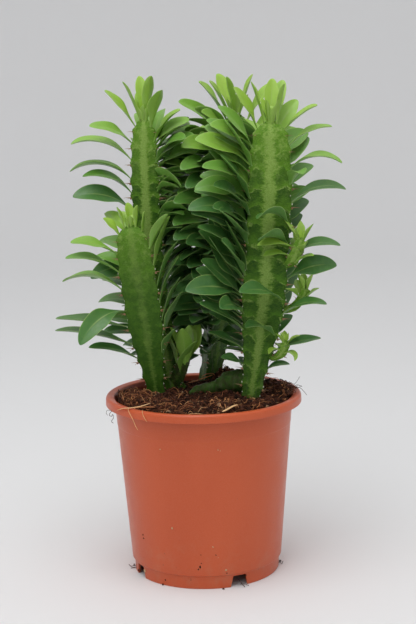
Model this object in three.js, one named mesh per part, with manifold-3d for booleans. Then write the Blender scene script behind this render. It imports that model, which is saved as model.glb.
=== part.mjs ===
// A potted milk-tree euphorbia: four three-ribbed leafy stems stand in a soil ball in a plastic nursery pot.
// Millimetres, +Z up. The pot's axis is x = 0, y = 0 while the pieces are made, and the front is -Y.
// The finished group is then shifted so that its origin is the bottom centre of the whole plant's box.
import * as THREE from "three";
import { mergeVertices } from "three/addons/utils/BufferGeometryUtils.js";
import Module from "manifold-3d";

const wasm = await Module();
wasm.setup();

// Pot
const POT_HEIGHT = 156;
const RIM_RADIUS = 85;
const RIM_SKIRT = 7.6; // how far the rolled rim hangs down
const RIM_THICKNESS = 3;
const RIM_ROUND = 1.8; // how far the rim's outer edge is rounded, downwards
const RIM_DISH = 0.9; // how far the rim's top falls towards its inner edge
const INNER_LIP = 5; // below the rim's top, where the plain inside begins
const BODY_TOP_RADIUS = 77.1;
const BODY_FOOT_RADIUS = 65.7;
const FOOT_RADIUS = 63.4;
const FOOT_HEIGHT = 12;
const FOOT_STEP = 0.8; // height of the shoulder between the foot ring and the body
const DRAFT = 0.4; // how far a short moulded wall leans
const WALL = 1.6;
const FLOOR_THICKNESS = 2;
const POT_SIDES = 36;
const NOTCH_BEARINGS = [-64.5, 25.5, 115.5, 205.5]; // degrees round from the front, towards the right
const NOTCH_TOP_WIDTH = 11.5;
const NOTCH_FOOT_WIDTH = 16.5;
const NOTCH_HEIGHT = 9.8;
const NOTCH_DEPTH = 12;
const CUT_PAST = 1; // a cut runs this far past the surface
const DRAIN_RADIUS = 5;
const DRAIN_CIRCLE = 50;
const DRAIN_CUT = 8; // height of the cut through the floor
const DRAIN_SIDES = 10;
const DRAIN_OFFSETS = [0, 45]; // one drain hole at each notch and one between

// Soil
const SOIL_LEVEL = 155; // in the middle, where the stems stand
const SOIL_EDGE_DROP = 6.5; // the surface falls this far towards the wall
const GAP = 0.35; // air between pieces that touch on the real plant
const SOIL_SECTORS = 24;
const SOIL_RINGS = [18, 36, 54, 68];
const SOIL_BEVEL = 3; // round the foot of the soil ball
const SOIL_BEVEL_HEIGHT = 2.4;
const BROAD_LUMPS = { height: 0.7, alongX: 0.21, alongY: 0.17, start: 0.9 };
const SMALL_LUMPS = { height: 0.5, alongX: 0.2, alongY: 0.37 };
const HEAP = { x: 57, y: 27, height: 6.5, spread: 17 }; // soil banked against the rim at the back right
const PEG_DEPTH = 38; // how far a stem reaches into the soil
const PEG_TOP = 3; // the round foot of a stem ends this far above the soil level
const PEG_SIDES = 10;
const PEG_SHARE = 0.9; // of the rib radius just above the soil
const HOLE_TOP = 20; // a hole's cut runs this far above the soil

// Stems
const FACE_SHARE = 0.56; // the middle of a face between two ribs, as a share of the rib radius
const TOOTH = 1.7; // how far a tooth stands out of its rib
const VALLEY = 0.5;
const CAP_START = 0.78; // the tip rounds off above this share of the height
const CAP_POWER = 0.27;
const CAP_LIMIT = 0.995; // so that the tip ends in a small flat
const YOUNG_LEVELS = [0.8, 8, 22]; // teeth below the tip, before the even pitch begins
const LOWEST_TOOTH = 9; // above the foot of a stem
const LOWEST_SHOOT_TOOTH = 4;
const HIGHEST_TOOTH = 0.4; // below the tip
const TOOTH_SHIFT = 3; // the most that an old tooth may stand off its level, from its highest to its lowest
const YOUNG_SHIFT = 1;
const SHOOT_TOOTH_SHARE = 0.5; // a side shoot's teeth are shorter
const THORN_LENGTH = 4.6;
const THORN_RADIUS = 0.75;
const THORN_ROOT = 1.5; // inside the tooth
const THORN_STEP = 3; // one tooth in three bears its pair
const THORN_WAY = { out: 0.8, sideways: 0.6, up: 0.08 };

// Leaves
const LEAF_STATIONS = [0, 0.3, 0.58, 0.84, 1];
const LEAF_THICKNESS = 1.5;
const LEAF_BASE = 1.3; // half the width of the stalk
const LEAF_FOLD = 16; // degrees that each half rises from the midrib
const LEAF_SUNK = 3;
const SHOOT_SUNK_SHARE = 0.6;
const STALK_END = 0.06; // the blade begins to widen here
const WIDEST = 0.64;
const TIP_POWER = 2.3; // how blunt the blade's end is
const ROLL_RATE = 1.6; // the blade has its full roll at 1 / 1.6 of its length

// How leaves change with their distance below the stem's tip: [distance, value].
const LENGTH_BY_AGE = [[0, 33], [8, 39], [22, 44], [36, 50], [110, 51], [170, 46], [230, 34]];
const WIDTH_BY_AGE = [[0, 8], [8, 11], [22, 14], [40, 17], [120, 18.5], [230, 14]];
const RISE_BY_AGE = [[0, 80], [8, 69], [22, 60], [36, 53], [110, 50], [200, 40]];
const BEND_BY_AGE = [[0, 10], [8, 30], [22, 48], [36, 66], [110, 66], [200, 50]];
const STEEPEST_RISE = 86;
const LEAST_BEND = 6;

// How far single leaves vary round the rule, from one end of their range to the other.
const SIZE_SPREAD = 0.16;
const SWING_SPREAD = 20;
const TIP_SWING_SPREAD = 50;
const ROLL_SPREAD = 24;
const RISE_SPREAD = 10;
const BEND_SPREAD = 12;
const TIP_LEAN = 0.4; // the youngest leaves keep close to the tip

// The lowest leaves are small ones.
const LOWEST_LEAF = 24; // above the soil
const LOW_LEAVES = 30; // over this height above the lowest, leaves grow to full size
const LOW_LENGTH_SHARE = 0.55;
const LOW_WIDTH_SHARE = 0.6;

// How leaves are kept clear of each other, of the stems and of the soil.
const SAMPLE_STATIONS = [0.12, 0.24, 0.36, 0.48, 0.6, 0.72, 0.82, 0.92, 1];
const SAMPLE_SHARES = [-0.95, -0.5, 0, 0.5, 0.95];
const CLEAR_OTHER = 4.2; // between the samples of leaves on different stems
const CLEAR_OWN = 1.6;
const CLEAR_STEM = 2.5;
const CLEAR_OWN_STEM = -8; // its flanks lie inside the circle of its ribs
const CLEAR_SOIL = 5;
const SHRINKS = [1, 0.85, 0.7];
const TURNS = [0, 14, -14, 28, -28, 42, -42];
const LIFTS = [0, 10, -10];
const NEIGHBOURHOOD = 70; // leaves whose middles lie further apart than this can't touch
const STALK_SAMPLES = 2 * SAMPLE_SHARES.length; // near the stalk, where leaves of one stem may meet
const MIDDLE_SAMPLE = 4 * SAMPLE_SHARES.length + 2;

// One entry for each stem, side shoot or buttress: where its axis runs, how thick it is, and how its ribs
// and leaves stand. A rib has its bearing in degrees from +X, then what its leaves add to the rule: swing
// turns them about the stem, roll turns the blade about its midrib, rise and bend change its arc, and size
// scales it. Where single leaves stand out of line, "own" gives their swing, roll, rise, bend and size, by
// their row below the tip, and "bare" lists the rows that have no leaf.
const STEMS = [
  {
    name: "stem_front_right",
    seed: 11,
    foot: [39.5, -24, SOIL_LEVEL],
    knee: [58, -24, 250],
    tip: [60, -26, 388],
    radius: 20.5,
    slim: 0.44,
    swell: 0.4,
    pitch: 15.3,
    ribs: [
      {
        bearing: 210,
        swing: -14,
        roll: -44,
        rise: 0,
        bend: -4,
        size: 0.98,
        own: {
          3: [-6, -50, 0, -20, 1.05],
          4: [10, -30, 0, -20, 0.95],
          5: [-6, -50, 0, 6, 0.95],
          6: [-16, -48, -2, 4, 1.02],
          7: [-16, -40, 2, -16, 1.06],
          8: [0, -34, 2, -32, 1],
          9: [14, -46, 0, -40, 0.98],
          10: [-14, -56, -6, -10, 1.14],
          11: [26, -46, -4, -16, 0.95],
          12: [0, -28, 4, -32, 1],
          13: [-20, -20, 0, -30, 0.9],
        },
      },
      {
        bearing: 330,
        swing: 24,
        roll: 30,
        rise: 0,
        bend: 0,
        size: 0.84,
        own: {
          1: [10, 30, -12, 0, 0.9],
          2: [20, 24, -6, 6, 0.82],
          3: [26, 20, 2, 16, 0.8],
          4: [-40, 10, 4, 10, 0.7],
          5: [24, 30, -2, 4, 0.9],
          6: [-104, 30, 0, 10, 0.8],
          7: [-106, 30, -6, 0, 0.72],
          9: [34, 40, 0, -10, 0.85],
          10: [-122, -24, -6, -14, 1.06],
          12: [-106, -20, 0, 0, 0.86],
          13: [22, 26, -14, -30, 1.05],
        },
      },
      { bearing: 90, swing: -56, roll: 46, rise: 6, bend: -20, size: 1, own: {} },
    ],
  },
  {
    name: "stem_front_right",
    seed: 12,
    foot: [68, -30, 270],
    knee: [78, -38, 272],
    tip: [84, -38, 292],
    radius: 5.5,
    slim: 0.7,
    swell: 0.3,
    pitch: 8,
    shoot: true,
    ribs: [
      {
        bearing: 200,
        swing: -10,
        roll: -20,
        rise: -30,
        bend: 10,
        size: 0.5,
        own: { 1: [-10, -20, -40, 20, 0.75] },
      },
      { bearing: 320, swing: 0, roll: 20, rise: -20, bend: 10, size: 0.42, own: {} },
      { bearing: 80, swing: 0, roll: 0, rise: 0, bend: 0, size: 0.4, own: {} },
    ],
  },
  {
    name: "stem_front_right",
    seed: 13,
    foot: [68, -28, 232],
    knee: [82, -30, 234],
    tip: [88, -30, 250],
    radius: 4.5,
    slim: 0.7,
    swell: 0.3,
    pitch: 7,
    shoot: true,
    ribs: [
      { bearing: 220, swing: 0, roll: 0, rise: -10, bend: 20, size: 0.36, own: {} },
      { bearing: 340, swing: 0, roll: 0, rise: -10, bend: 20, size: 0.36, own: {} },
      { bearing: 100, swing: 0, roll: 0, rise: 0, bend: 0, size: 0.36, own: {} },
    ],
  },
  {
    name: "stem_front_right",
    seed: 14,
    foot: [57, -30, 191],
    knee: [67, -33, 193],
    tip: [70, -33, 205],
    radius: 4.5,
    slim: 0.7,
    swell: 0.3,
    pitch: 7,
    shoot: true,
    ribs: [
      { bearing: 220, swing: 0, roll: 0, rise: -20, bend: 90, size: 0.26, own: {} },
      { bearing: 340, swing: 0, roll: 20, rise: -20, bend: 130, size: 0.3, own: {} },
      { bearing: 100, swing: 0, roll: 0, rise: 0, bend: 80, size: 0.24, own: {} },
    ],
  },
  {
    name: "stem_front_right",
    seed: 15,
    foot: [-4, -2, 159],
    knee: [13, -4, 165],
    tip: [42, -18, 175],
    radius: 12.5,
    slim: 0.2,
    swell: 0.75,
    pitch: 7,
    shoot: true,
    ribs: [
      { bearing: 60, swing: 0, roll: 0, rise: 0, bend: 0, size: 1, own: {}, bare: [0, 1, 2, 3] },
      { bearing: 180, swing: 0, roll: 0, rise: 0, bend: 0, size: 1, own: {}, bare: [0, 1, 2, 3] },
      { bearing: 300, swing: 0, roll: 0, rise: 0, bend: 0, size: 1, own: {}, bare: [0, 1, 2, 3] },
    ],
  },
  {
    name: "stem_front_left",
    seed: 21,
    foot: [-41, 6, SOIL_LEVEL],
    knee: [-47, -8, 215],
    tip: [-58, -20, 304],
    radius: 17,
    slim: 0.5,
    swell: 0.5,
    pitch: 15.7,
    ribs: [
      {
        bearing: 208,
        swing: -22,
        roll: -20,
        rise: -6,
        bend: -8,
        size: 0.98,
        own: {
          2: [-20, -30, -22, -10, 0.9],
          3: [-14, -10, -8, -12, 0.95],
          4: [-24, -6, -6, 10, 1.06],
          5: [4, -50, -40, -4, 0.98],
          6: [-20, -10, -36, -50, 1.14],
          7: [-24, 0, -26, -40, 1.26],
          8: [-16, -24, -14, -30, 1.2],
          9: [-20, 0, -20, 0, 0.6],
        },
      },
      {
        bearing: 328,
        swing: 30,
        roll: 0,
        rise: 28,
        bend: -46,
        size: 0.84,
        own: { 2: [-10, 0, 10, -20, 0.8] },
      },
      { bearing: 88, swing: 56, roll: -20, rise: 0, bend: 0, size: 0.9, own: {} },
    ],
  },
  {
    name: "stem_back_right",
    seed: 31,
    foot: [5, 60, SOIL_LEVEL],
    knee: [20, 46, 260],
    tip: [33, 30, 393],
    radius: 17.5,
    slim: 0.65,
    swell: 0.4,
    pitch: 15,
    ribs: [
      { bearing: 133, swing: 66, roll: -44, rise: 0, bend: -4, size: 1.1, own: {} },
      { bearing: 253, swing: -30, roll: -40, rise: 0, bend: 0, size: 1, own: {} },
      { bearing: 13, swing: 4, roll: 30, rise: 0, bend: 0, size: 1, own: {} },
    ],
  },
  {
    name: "stem_back_left",
    seed: 41,
    foot: [-25, 25, SOIL_LEVEL],
    knee: [-50, 25, 235],
    tip: [-46, 19, 391],
    radius: 12.8,
    slim: 0.72,
    swell: 0.3,
    pitch: 14.2,
    ribs: [
      { bearing: 90, swing: 0, roll: 0, rise: 0, bend: 0, size: 0.95, own: {} },
      {
        bearing: 205,
        swing: -18,
        roll: -26,
        rise: 0,
        bend: 4,
        size: 1,
        own: {
          1: [-14, -20, -10, -10, 1],
          2: [-14, -30, -6, 0, 0.88],
          3: [-18, -20, 0, 10, 1.04],
          4: [-18, -8, 0, 20, 1.02],
          5: [-10, -16, 2, -4, 0.92],
          6: [-20, -50, -6, 0, 0.96],
          10: [10, -56, -8, 20, 0.9],
        },
        bare: [7, 8, 9, 11, 12, 13],
      },
      {
        bearing: 335,
        swing: 10,
        roll: 30,
        rise: 10,
        bend: -10,
        size: 0.9,
        own: {
          0: [-60, 0, 4, 0, 0.96],
          1: [-50, 20, 0, 0, 1],
          2: [10, 30, 10, 0, 0.9],
          4: [10, 0, -10, -20, 0.6],
          6: [30, 60, 0, 0, 0.7],
        },
        bare: [5, 7, 8, 10, 12, 13],
      },
    ],
  },
  {
    name: "stem_back_left",
    seed: 42,
    foot: [-26, 22, 162],
    knee: [-18, 14, 168],
    tip: [-15, 8, 184],
    radius: 7,
    slim: 0.8,
    swell: 0.3,
    pitch: 9,
    shoot: true,
    broad: 1.5,
    ribs: [
      { bearing: 290, swing: 0, roll: 10, rise: 12, bend: 0, size: 0.95, own: {} },
      { bearing: 50, swing: 0, roll: 30, rise: 10, bend: 0, size: 0.8, own: {} },
      { bearing: 170, swing: 40, roll: -20, rise: 10, bend: 0, size: 0.85, own: {} },
    ],
  },
];

// Colours and finish
const MATERIALS = {
  pot: new THREE.MeshStandardMaterial({ color: 0xb4532f, roughness: 0.45, metalness: 0 }),
  soil: new THREE.MeshStandardMaterial({ color: 0x4a3226, roughness: 0.95, metalness: 0 }),
  plant: new THREE.MeshStandardMaterial({ color: 0x4c7a2c, roughness: 0.5, metalness: 0 }),
};

const radians = THREE.MathUtils.degToRad;
const UP = new THREE.Vector3(0, 0, 1);
const levelPoint = (radius, angle) =>
  new THREE.Vector3(radius * Math.cos(angle), radius * Math.sin(angle), 0);

// A closed mesh as a solid that can be joined and cut.
function solidOf(geometry) {
  const bare = geometry.clone();
  bare.deleteAttribute("normal");
  bare.deleteAttribute("uv");
  const merged = mergeVertices(bare, 1e-4);
  return new wasm.Manifold(
    new wasm.Mesh({
      numProp: 3,
      vertProperties: merged.attributes.position.array,
      triVerts: new Uint32Array(merged.index.array),
    }),
  );
}

// The one body of a joined plant: a hollow that joining has sealed is filled, and a loose scrap is left out.
function wholeBody(solid) {
  return solid.decompose().reduce((largest, other) => (other.volume() > largest.volume() ? other : largest));
}

function geometryOf(solid) {
  const mesh = solid.getMesh();
  return new THREE.BufferGeometry()
    .setAttribute("position", new THREE.BufferAttribute(mesh.vertProperties, 3))
    .setIndex(new THREE.BufferAttribute(mesh.triVerts, 1));
}

function namedMesh(name, solid, material) {
  const geometry = geometryOf(solid).toNonIndexed();
  geometry.computeVertexNormals();
  const mesh = new THREE.Mesh(geometry, material);
  mesh.name = name;
  return mesh;
}

function triangleGeometry(points, triangles) {
  return new THREE.BufferGeometry()
    .setAttribute("position", new THREE.Float32BufferAttribute(points.flatMap((p) => [p.x, p.y, p.z]), 3))
    .setIndex(triangles.flat());
}

// A skin over rings that have as many points each, counter-clockwise seen from the far end, with flat caps.
function skinOf(rings) {
  const n = rings[0].length;
  const points = rings.flat();
  const triangles = [];
  for (let i = 0; i + 1 < rings.length; i++)
    for (let j = 0; j < n; j++) {
      const [a, b] = [i * n + j, i * n + ((j + 1) % n)];
      triangles.push([a, b, b + n], [a, b + n, a + n]);
    }
  const last = (rings.length - 1) * n;
  for (let j = 1; j + 1 < n; j++) triangles.push([0, j + 1, j], [last, last + j, last + j + 1]);
  return triangleGeometry(points, triangles);
}

// Numbers from 0 to 1 that are the same on every run.
function seededDraw(seed) {
  let state = seed;
  return () => {
    state = (state * 1664525 + 1013904223) % 4294967296;
    return state / 4294967296;
  };
}

const clampShare = (x) => Math.min(1, Math.max(0, x));
const smoothShare = (x) => clampShare(x) ** 2 * (3 - 2 * clampShare(x));

// The value at x on straight lines between [x, value] keys.
function along(keys, x) {
  if (x <= keys[0][0]) return keys[0][1];
  for (let i = 1; i < keys.length; i++) {
    const [[x0, v0], [x1, v1]] = [keys[i - 1], keys[i]];
    if (x <= x1) return v0 + ((v1 - v0) * (x - x0)) / (x1 - x0);
  }
  return keys[keys.length - 1][1];
}

// The axis of a stem at a height: a bend through foot, knee and tip, found by that height.
function axisAt(stem, z) {
  const [z0, z1, z2] = [stem.foot[2], stem.knee[2], stem.tip[2]];
  const [a, b, c] = [z0 - 2 * z1 + z2, 2 * (z1 - z0), z0 - z];
  const u = Math.abs(a) < 1e-9 ? -c / b : (-b + Math.sqrt(Math.max(0, b * b - 4 * a * c))) / (2 * a);
  const mix = (k) => (1 - u) ** 2 * stem.foot[k] + 2 * u * (1 - u) * stem.knee[k] + u * u * stem.tip[k];
  const slope = (k) => 2 * (1 - u) * (stem.knee[k] - stem.foot[k]) + 2 * u * (stem.tip[k] - stem.knee[k]);
  return {
    point: new THREE.Vector3(mix(0), mix(1), z),
    tangent: new THREE.Vector3(slope(0), slope(1), slope(2)).normalize(),
  };
}

// The rib radius of a stem at a height: slim at the foot, full above, rounded off at the tip.
function ribRadius(stem, z) {
  const share = (z - stem.foot[2]) / (stem.tip[2] - stem.foot[2]);
  const grown = stem.slim + (1 - stem.slim) * smoothShare(share / stem.swell);
  const cap = (1 - Math.min(CAP_LIMIT, clampShare((share - CAP_START) / (1 - CAP_START)))) ** CAP_POWER;
  return stem.radius * grown * cap;
}

// The direction out of the stem at a bearing, square to its axis.
function outward(tangent, bearing) {
  const across = new THREE.Vector3(1, 0, 0).addScaledVector(tangent, -tangent.x).normalize();
  const deep = new THREE.Vector3().crossVectors(tangent, across);
  return across.multiplyScalar(Math.cos(radians(bearing))).addScaledVector(deep, Math.sin(radians(bearing)));
}

// The heights of a stem's teeth, from the tip down.
function toothLevels(stem) {
  const lowest = stem.foot[2] + (stem.shoot ? LOWEST_SHOOT_TOOTH : LOWEST_TOOTH);
  const young = stem.shoot ? YOUNG_LEVELS.slice(0, 2) : YOUNG_LEVELS;
  const levels = young.map((below) => stem.tip[2] - below);
  while (levels[levels.length - 1] - stem.pitch > lowest) levels.push(levels[levels.length - 1] - stem.pitch);
  return levels;
}

// Every tooth of a stem: where its leaf and thorns start, and which way it points.
function teethOf(stem) {
  const draw = seededDraw(stem.seed);
  const teeth = [];
  toothLevels(stem).forEach((level, row) => {
    stem.ribs.forEach((rib, side) => {
      const shift = (row > 1 ? TOOTH_SHIFT : YOUNG_SHIFT) * (draw() - 0.5);
      const chance = [draw(), draw(), draw(), draw(), draw()];
      const height = Math.min(level + shift, stem.tip[2] - HIGHEST_TOOTH);
      const { point, tangent } = axisAt(stem, height);
      const out = outward(tangent, rib.bearing);
      const reach = ribRadius(stem, height) + TOOTH * (stem.shoot ? SHOOT_TOOTH_SHARE : 1);
      const tooth = point.clone().addScaledVector(out, reach);
      teeth.push({ stem, rib, row, side, height, tangent, out, reach, tooth, chance });
    });
  });
  return teeth;
}

// The leaf that grows at a tooth, before it is turned clear of its neighbours.
function leafAt(tooth) {
  const { stem, rib, row, chance } = tooth;
  const age = stem.tip[2] - tooth.height;
  const usual = [rib.swing, rib.roll, rib.rise, rib.bend, rib.size];
  const [swing, roll, riseMore, bendMore, scale] = rib.own[row] ?? usual;
  const vary = (share, spread) => (share - 0.5) * spread;
  const grown = stem.shoot ? 1 : smoothShare((tooth.height - SOIL_LEVEL - LOWEST_LEAF) / LOW_LEAVES);
  const grownLength = LOW_LENGTH_SHARE + (1 - LOW_LENGTH_SHARE) * grown;
  const grownWidth = LOW_WIDTH_SHARE + (1 - LOW_WIDTH_SHARE) * grown;
  const lean = row < 1 ? TIP_LEAN : 1;
  const sunk = LEAF_SUNK * (stem.shoot ? SHOOT_SUNK_SHARE : 1);
  const length = along(LENGTH_BY_AGE, age) * scale * (1 + vary(chance[0], SIZE_SPREAD)) * grownLength;
  const width = along(WIDTH_BY_AGE, age) * (stem.broad ?? 1) * Math.sqrt(scale);
  const rise = along(RISE_BY_AGE, age) + riseMore * lean + vary(chance[3], RISE_SPREAD);
  const bend = along(BEND_BY_AGE, age) + bendMore * lean + vary(chance[4], BEND_SPREAD);
  return {
    owner: stem.name,
    base: tooth.tooth.clone().addScaledVector(tooth.out, -sunk),
    bearing: rib.bearing + swing * lean + vary(chance[1], row < 1 ? TIP_SWING_SPREAD : SWING_SPREAD),
    roll: (roll + vary(chance[2], ROLL_SPREAD)) * lean,
    rise: Math.min(STEEPEST_RISE, rise),
    bend: Math.max(LEAST_BEND, bend),
    length: length + LEAF_SUNK,
    width: width * (1 + vary(chance[2], SIZE_SPREAD)) * grownWidth,
  };
}

// Half the width of a blade, as a share of its widest: a slim stalk, widest past the middle, a blunt tip.
function outlineShare(s) {
  const widening = smoothShare((s - STALK_END) / (WIDEST - STALK_END));
  const past = clampShare((s - WIDEST) / (1 - WIDEST));
  return widening * Math.sqrt(1 - past ** TIP_POWER);
}

// A cross-section of a leaf at s along it: the midrib's point, the way to its left edge and its upper side.
function leafSection(leaf, s) {
  const [rise, bend] = [radians(leaf.rise), radians(leaf.bend)];
  const roll = radians(leaf.roll * smoothShare(s * ROLL_RATE));
  const out = levelPoint(1, radians(leaf.bearing));
  const radius = leaf.length / bend;
  const angle = rise - bend * s;
  const mid = leaf.base
    .clone()
    .addScaledVector(out, radius * (Math.sin(rise) - Math.sin(angle)))
    .addScaledVector(UP, radius * (Math.cos(angle) - Math.cos(rise)));
  const forward = out.clone().multiplyScalar(Math.cos(angle)).addScaledVector(UP, Math.sin(angle));
  const level = new THREE.Vector3().crossVectors(UP, out);
  const above = new THREE.Vector3().crossVectors(forward, level);
  const side = level.clone().multiplyScalar(Math.cos(roll)).addScaledVector(above, Math.sin(roll));
  const upper = new THREE.Vector3().crossVectors(forward, side);
  const half = LEAF_BASE + (leaf.width / 2 - LEAF_BASE) * outlineShare(s);
  return { mid, side, upper, half: s >= 1 ? 0 : half };
}

// A point of a section, with share -1 at one edge, 0 on the midrib and 1 at the other edge.
function bladePoint({ mid, side, upper, half }, share) {
  const fold = radians(LEAF_FOLD);
  return mid
    .clone()
    .addScaledVector(side, share * half * Math.cos(fold))
    .addScaledVector(upper, Math.abs(share) * half * Math.sin(fold));
}

const samplesOf = (leaf) =>
  SAMPLE_STATIONS.flatMap((s) => {
    const section = leafSection(leaf, s);
    return SAMPLE_SHARES.map((share) => bladePoint(section, share));
  });

// How near a point comes to a stem's surface, from outside.
function stemDistance(stem, p) {
  const low = stem.shoot ? stem.foot[2] : SOIL_LEVEL;
  const z = Math.min(stem.tip[2], Math.max(low, p.z));
  const { point } = axisAt(stem, z);
  const side = Math.hypot(p.x - point.x, p.y - point.y) - ribRadius(stem, z) - TOOTH;
  return Math.hypot(Math.max(0, side), p.z - z) + Math.min(0, side);
}

function nearest(samples, others) {
  let best = Infinity;
  for (const p of samples) for (const q of others) best = Math.min(best, p.distanceToSquared(q));
  return Math.sqrt(best);
}

// Turns, lifts or shortens a leaf until it is clear of the stems and of the leaves already placed.
// Returns nothing where no way is clear of another stem's leaves.
function clearLeaf(wanted, stems, placed) {
  const roomAt = (stem) => (stem.name === wanted.owner ? CLEAR_OWN_STEM : CLEAR_STEM);
  let [best, bestOwn] = [null, -Infinity];
  for (const shrink of SHRINKS)
    for (const lift of LIFTS)
      for (const turn of TURNS) {
        const leaf = {
          ...wanted,
          length: wanted.length * shrink,
          width: wanted.width * Math.sqrt(shrink),
          bearing: wanted.bearing + turn,
          rise: Math.min(STEEPEST_RISE, wanted.rise + lift),
        };
        const samples = samplesOf(leaf);
        const far = samples.slice(STALK_SAMPLES);
        if (samples.some((p) => p.z < SOIL_LEVEL + CLEAR_SOIL)) continue;
        if (stems.some((stem) => far.some((p) => stemDistance(stem, p) < roomAt(stem)))) continue;
        const middle = samples[MIDDLE_SAMPLE];
        const near = placed.filter((other) => other.middle.distanceTo(middle) < NEIGHBOURHOOD);
        const others = near.filter((other) => other.leaf.owner !== leaf.owner);
        if (others.some((other) => nearest(samples, other.samples) < CLEAR_OTHER)) continue;
        const own = near.filter((other) => other.leaf.owner === leaf.owner);
        const ownDistance = Math.min(CLEAR_OWN, ...own.map((other) => nearest(far, other.far)));
        if (ownDistance > bestOwn) [best, bestOwn] = [{ leaf, samples, far, middle }, ownDistance];
        if (ownDistance >= CLEAR_OWN) return best;
      }
  return best;
}

// All leaves of all stems, each clear of the other stems' leaves.
function placeLeaves(stems) {
  const bears = ({ stem, rib, row, height }) =>
    (stem.shoot || height > SOIL_LEVEL + LOWEST_LEAF) && !rib.bare?.includes(row);
  const teeth = stems.flatMap(teethOf).filter(bears);
  const placed = [];
  for (const side of [0, 1, 2])
    for (const tooth of teeth.filter((one) => one.side === side)) {
      const found = clearLeaf(leafAt(tooth), stems, placed);
      if (found) placed.push(found);
    }
  return placed.map(({ leaf }) => leaf);
}

// A leaf as a thin closed blade: a keeled section at each station, run out to a point.
function leafSolid(leaf) {
  const sections = LEAF_STATIONS.map((s) => leafSection(leaf, s));
  const tip = sections.pop();
  const points = sections.flatMap((section) => [
    bladePoint(section, 1),
    bladePoint(section, -1),
    section.mid.clone().addScaledVector(section.upper, LEAF_THICKNESS / 2),
    section.mid.clone().addScaledVector(section.upper, -LEAF_THICKNESS / 2),
  ]);
  const triangles = [[0, 3, 2], [1, 2, 3]];
  const n = 4; // left edge, right edge, top and underside of the midrib
  for (let i = 0; i + 1 < sections.length; i++) {
    const [left, right, top, under] = [0, 1, 2, 3].map((k) => i * n + k);
    triangles.push([left, top + n, left + n], [left, top, top + n]);
    triangles.push([left, left + n, under + n], [left, under + n, under]);
    triangles.push([right, right + n, top + n], [right, top + n, top]);
    triangles.push([right, under + n, right + n], [right, under, under + n]);
  }
  const [left, right, top, under] = [0, 1, 2, 3].map((k) => (sections.length - 1) * n + k);
  const end = points.length;
  points.push(tip.mid);
  triangles.push([left, top, end], [under, left, end], [top, right, end], [right, under, end]);
  return solidOf(triangleGeometry(points, triangles));
}

// One ring of a stem: each rib's tip at its own height and reach, and the middle of the face that follows it.
function stemRing(stem, heights, reaches) {
  const at = (height, bearing, reach) => {
    const { point, tangent } = axisAt(stem, height);
    return point.addScaledVector(outward(tangent, bearing), reach);
  };
  const middle = (heights[0] + heights[1] + heights[2]) / 3;
  return stem.ribs.flatMap((rib, side) => [
    at(heights[side], rib.bearing, reaches[side]),
    at(middle, rib.bearing + 60, ribRadius(stem, middle) * FACE_SHARE),
  ]);
}

// The ribbed body of a stem, from its foot to its blunt tip, with a tooth on each rib at each level.
function stemBody(stem) {
  const teeth = teethOf(stem);
  const levels = toothLevels(stem);
  const foot = stem.shoot ? stem.foot[2] : SOIL_LEVEL + PEG_TOP - 1;
  const rings = [];
  const plain = (z, cut) => {
    const reach = ribRadius(stem, z) - cut;
    rings.push(stemRing(stem, [z, z, z], [reach, reach, reach]));
  };
  plain(foot, 0);
  for (let row = levels.length - 1; row >= 0; row--) {
    const three = teeth.filter((tooth) => tooth.row === row);
    rings.push(stemRing(stem, three.map((t) => t.height), three.map((t) => t.reach)));
    if (row > 0) plain((levels[row] + levels[row - 1]) / 2, row > 1 && !stem.shoot ? VALLEY : 0);
  }
  plain(stem.tip[2], 0);
  return solidOf(skinOf(rings));
}

// The round foot of a stem, which stands in its hole in the soil.
function pegSolid(stem, grow, low, high) {
  const radius = ribRadius(stem, SOIL_LEVEL + PEG_TOP) * PEG_SHARE + grow;
  const geometry = new THREE.CylinderGeometry(radius, radius, high - low, PEG_SIDES);
  geometry.rotateX(Math.PI / 2);
  geometry.translate(stem.foot[0], stem.foot[1], (low + high) / 2);
  return solidOf(geometry);
}

// A pair of thorns spreads sideways from a tooth.
function thornSolids(tooth) {
  const sideways = new THREE.Vector3().crossVectors(tooth.tangent, tooth.out);
  return [-1, 1].map((hand) => {
    const way = tooth.out
      .clone()
      .multiplyScalar(THORN_WAY.out)
      .addScaledVector(sideways, THORN_WAY.sideways * hand)
      .addScaledVector(UP, THORN_WAY.up)
      .normalize();
    const thorn = new THREE.ConeGeometry(THORN_RADIUS, THORN_LENGTH + THORN_ROOT, 3);
    thorn.translate(0, (THORN_LENGTH - THORN_ROOT) / 2, 0);
    thorn.applyQuaternion(new THREE.Quaternion().setFromUnitVectors(new THREE.Vector3(0, 1, 0), way));
    thorn.translate(...tooth.tooth.toArray());
    return solidOf(thorn);
  });
}

// A rooted stem with its side shoots, thorns and leaves, joined into one body.
function leafyStem(name, leaves) {
  const members = STEMS.filter((stem) => stem.name === name);
  const pieces = members.map(stemBody);
  pieces.push(pegSolid(members[0], 0, SOIL_LEVEL - PEG_DEPTH, SOIL_LEVEL + PEG_TOP));
  for (const tooth of members.flatMap(teethOf))
    if (!tooth.stem.shoot && tooth.row > 0 && (tooth.row + tooth.side) % THORN_STEP === 0)
      pieces.push(...thornSolids(tooth));
  pieces.push(...leaves.filter((leaf) => leaf.owner === name).map(leafSolid));
  return namedMesh(name, wholeBody(wasm.Manifold.union(pieces)), MATERIALS.plant);
}

// The inside radius of the pot's wall at a height.
function insideRadius(z) {
  const share = (z - FOOT_HEIGHT) / (POT_HEIGHT - RIM_SKIRT - FOOT_HEIGHT);
  return BODY_FOOT_RADIUS + (BODY_TOP_RADIUS - BODY_FOOT_RADIUS) * share - WALL;
}

// A solid turned about the Z axis from a profile of [radius, height] points.
function turned(profile, sides) {
  const geometry = new THREE.LatheGeometry(profile.map(([r, z]) => new THREE.Vector2(r, z)), sides);
  geometry.rotateX(Math.PI / 2);
  return solidOf(geometry);
}

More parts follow.
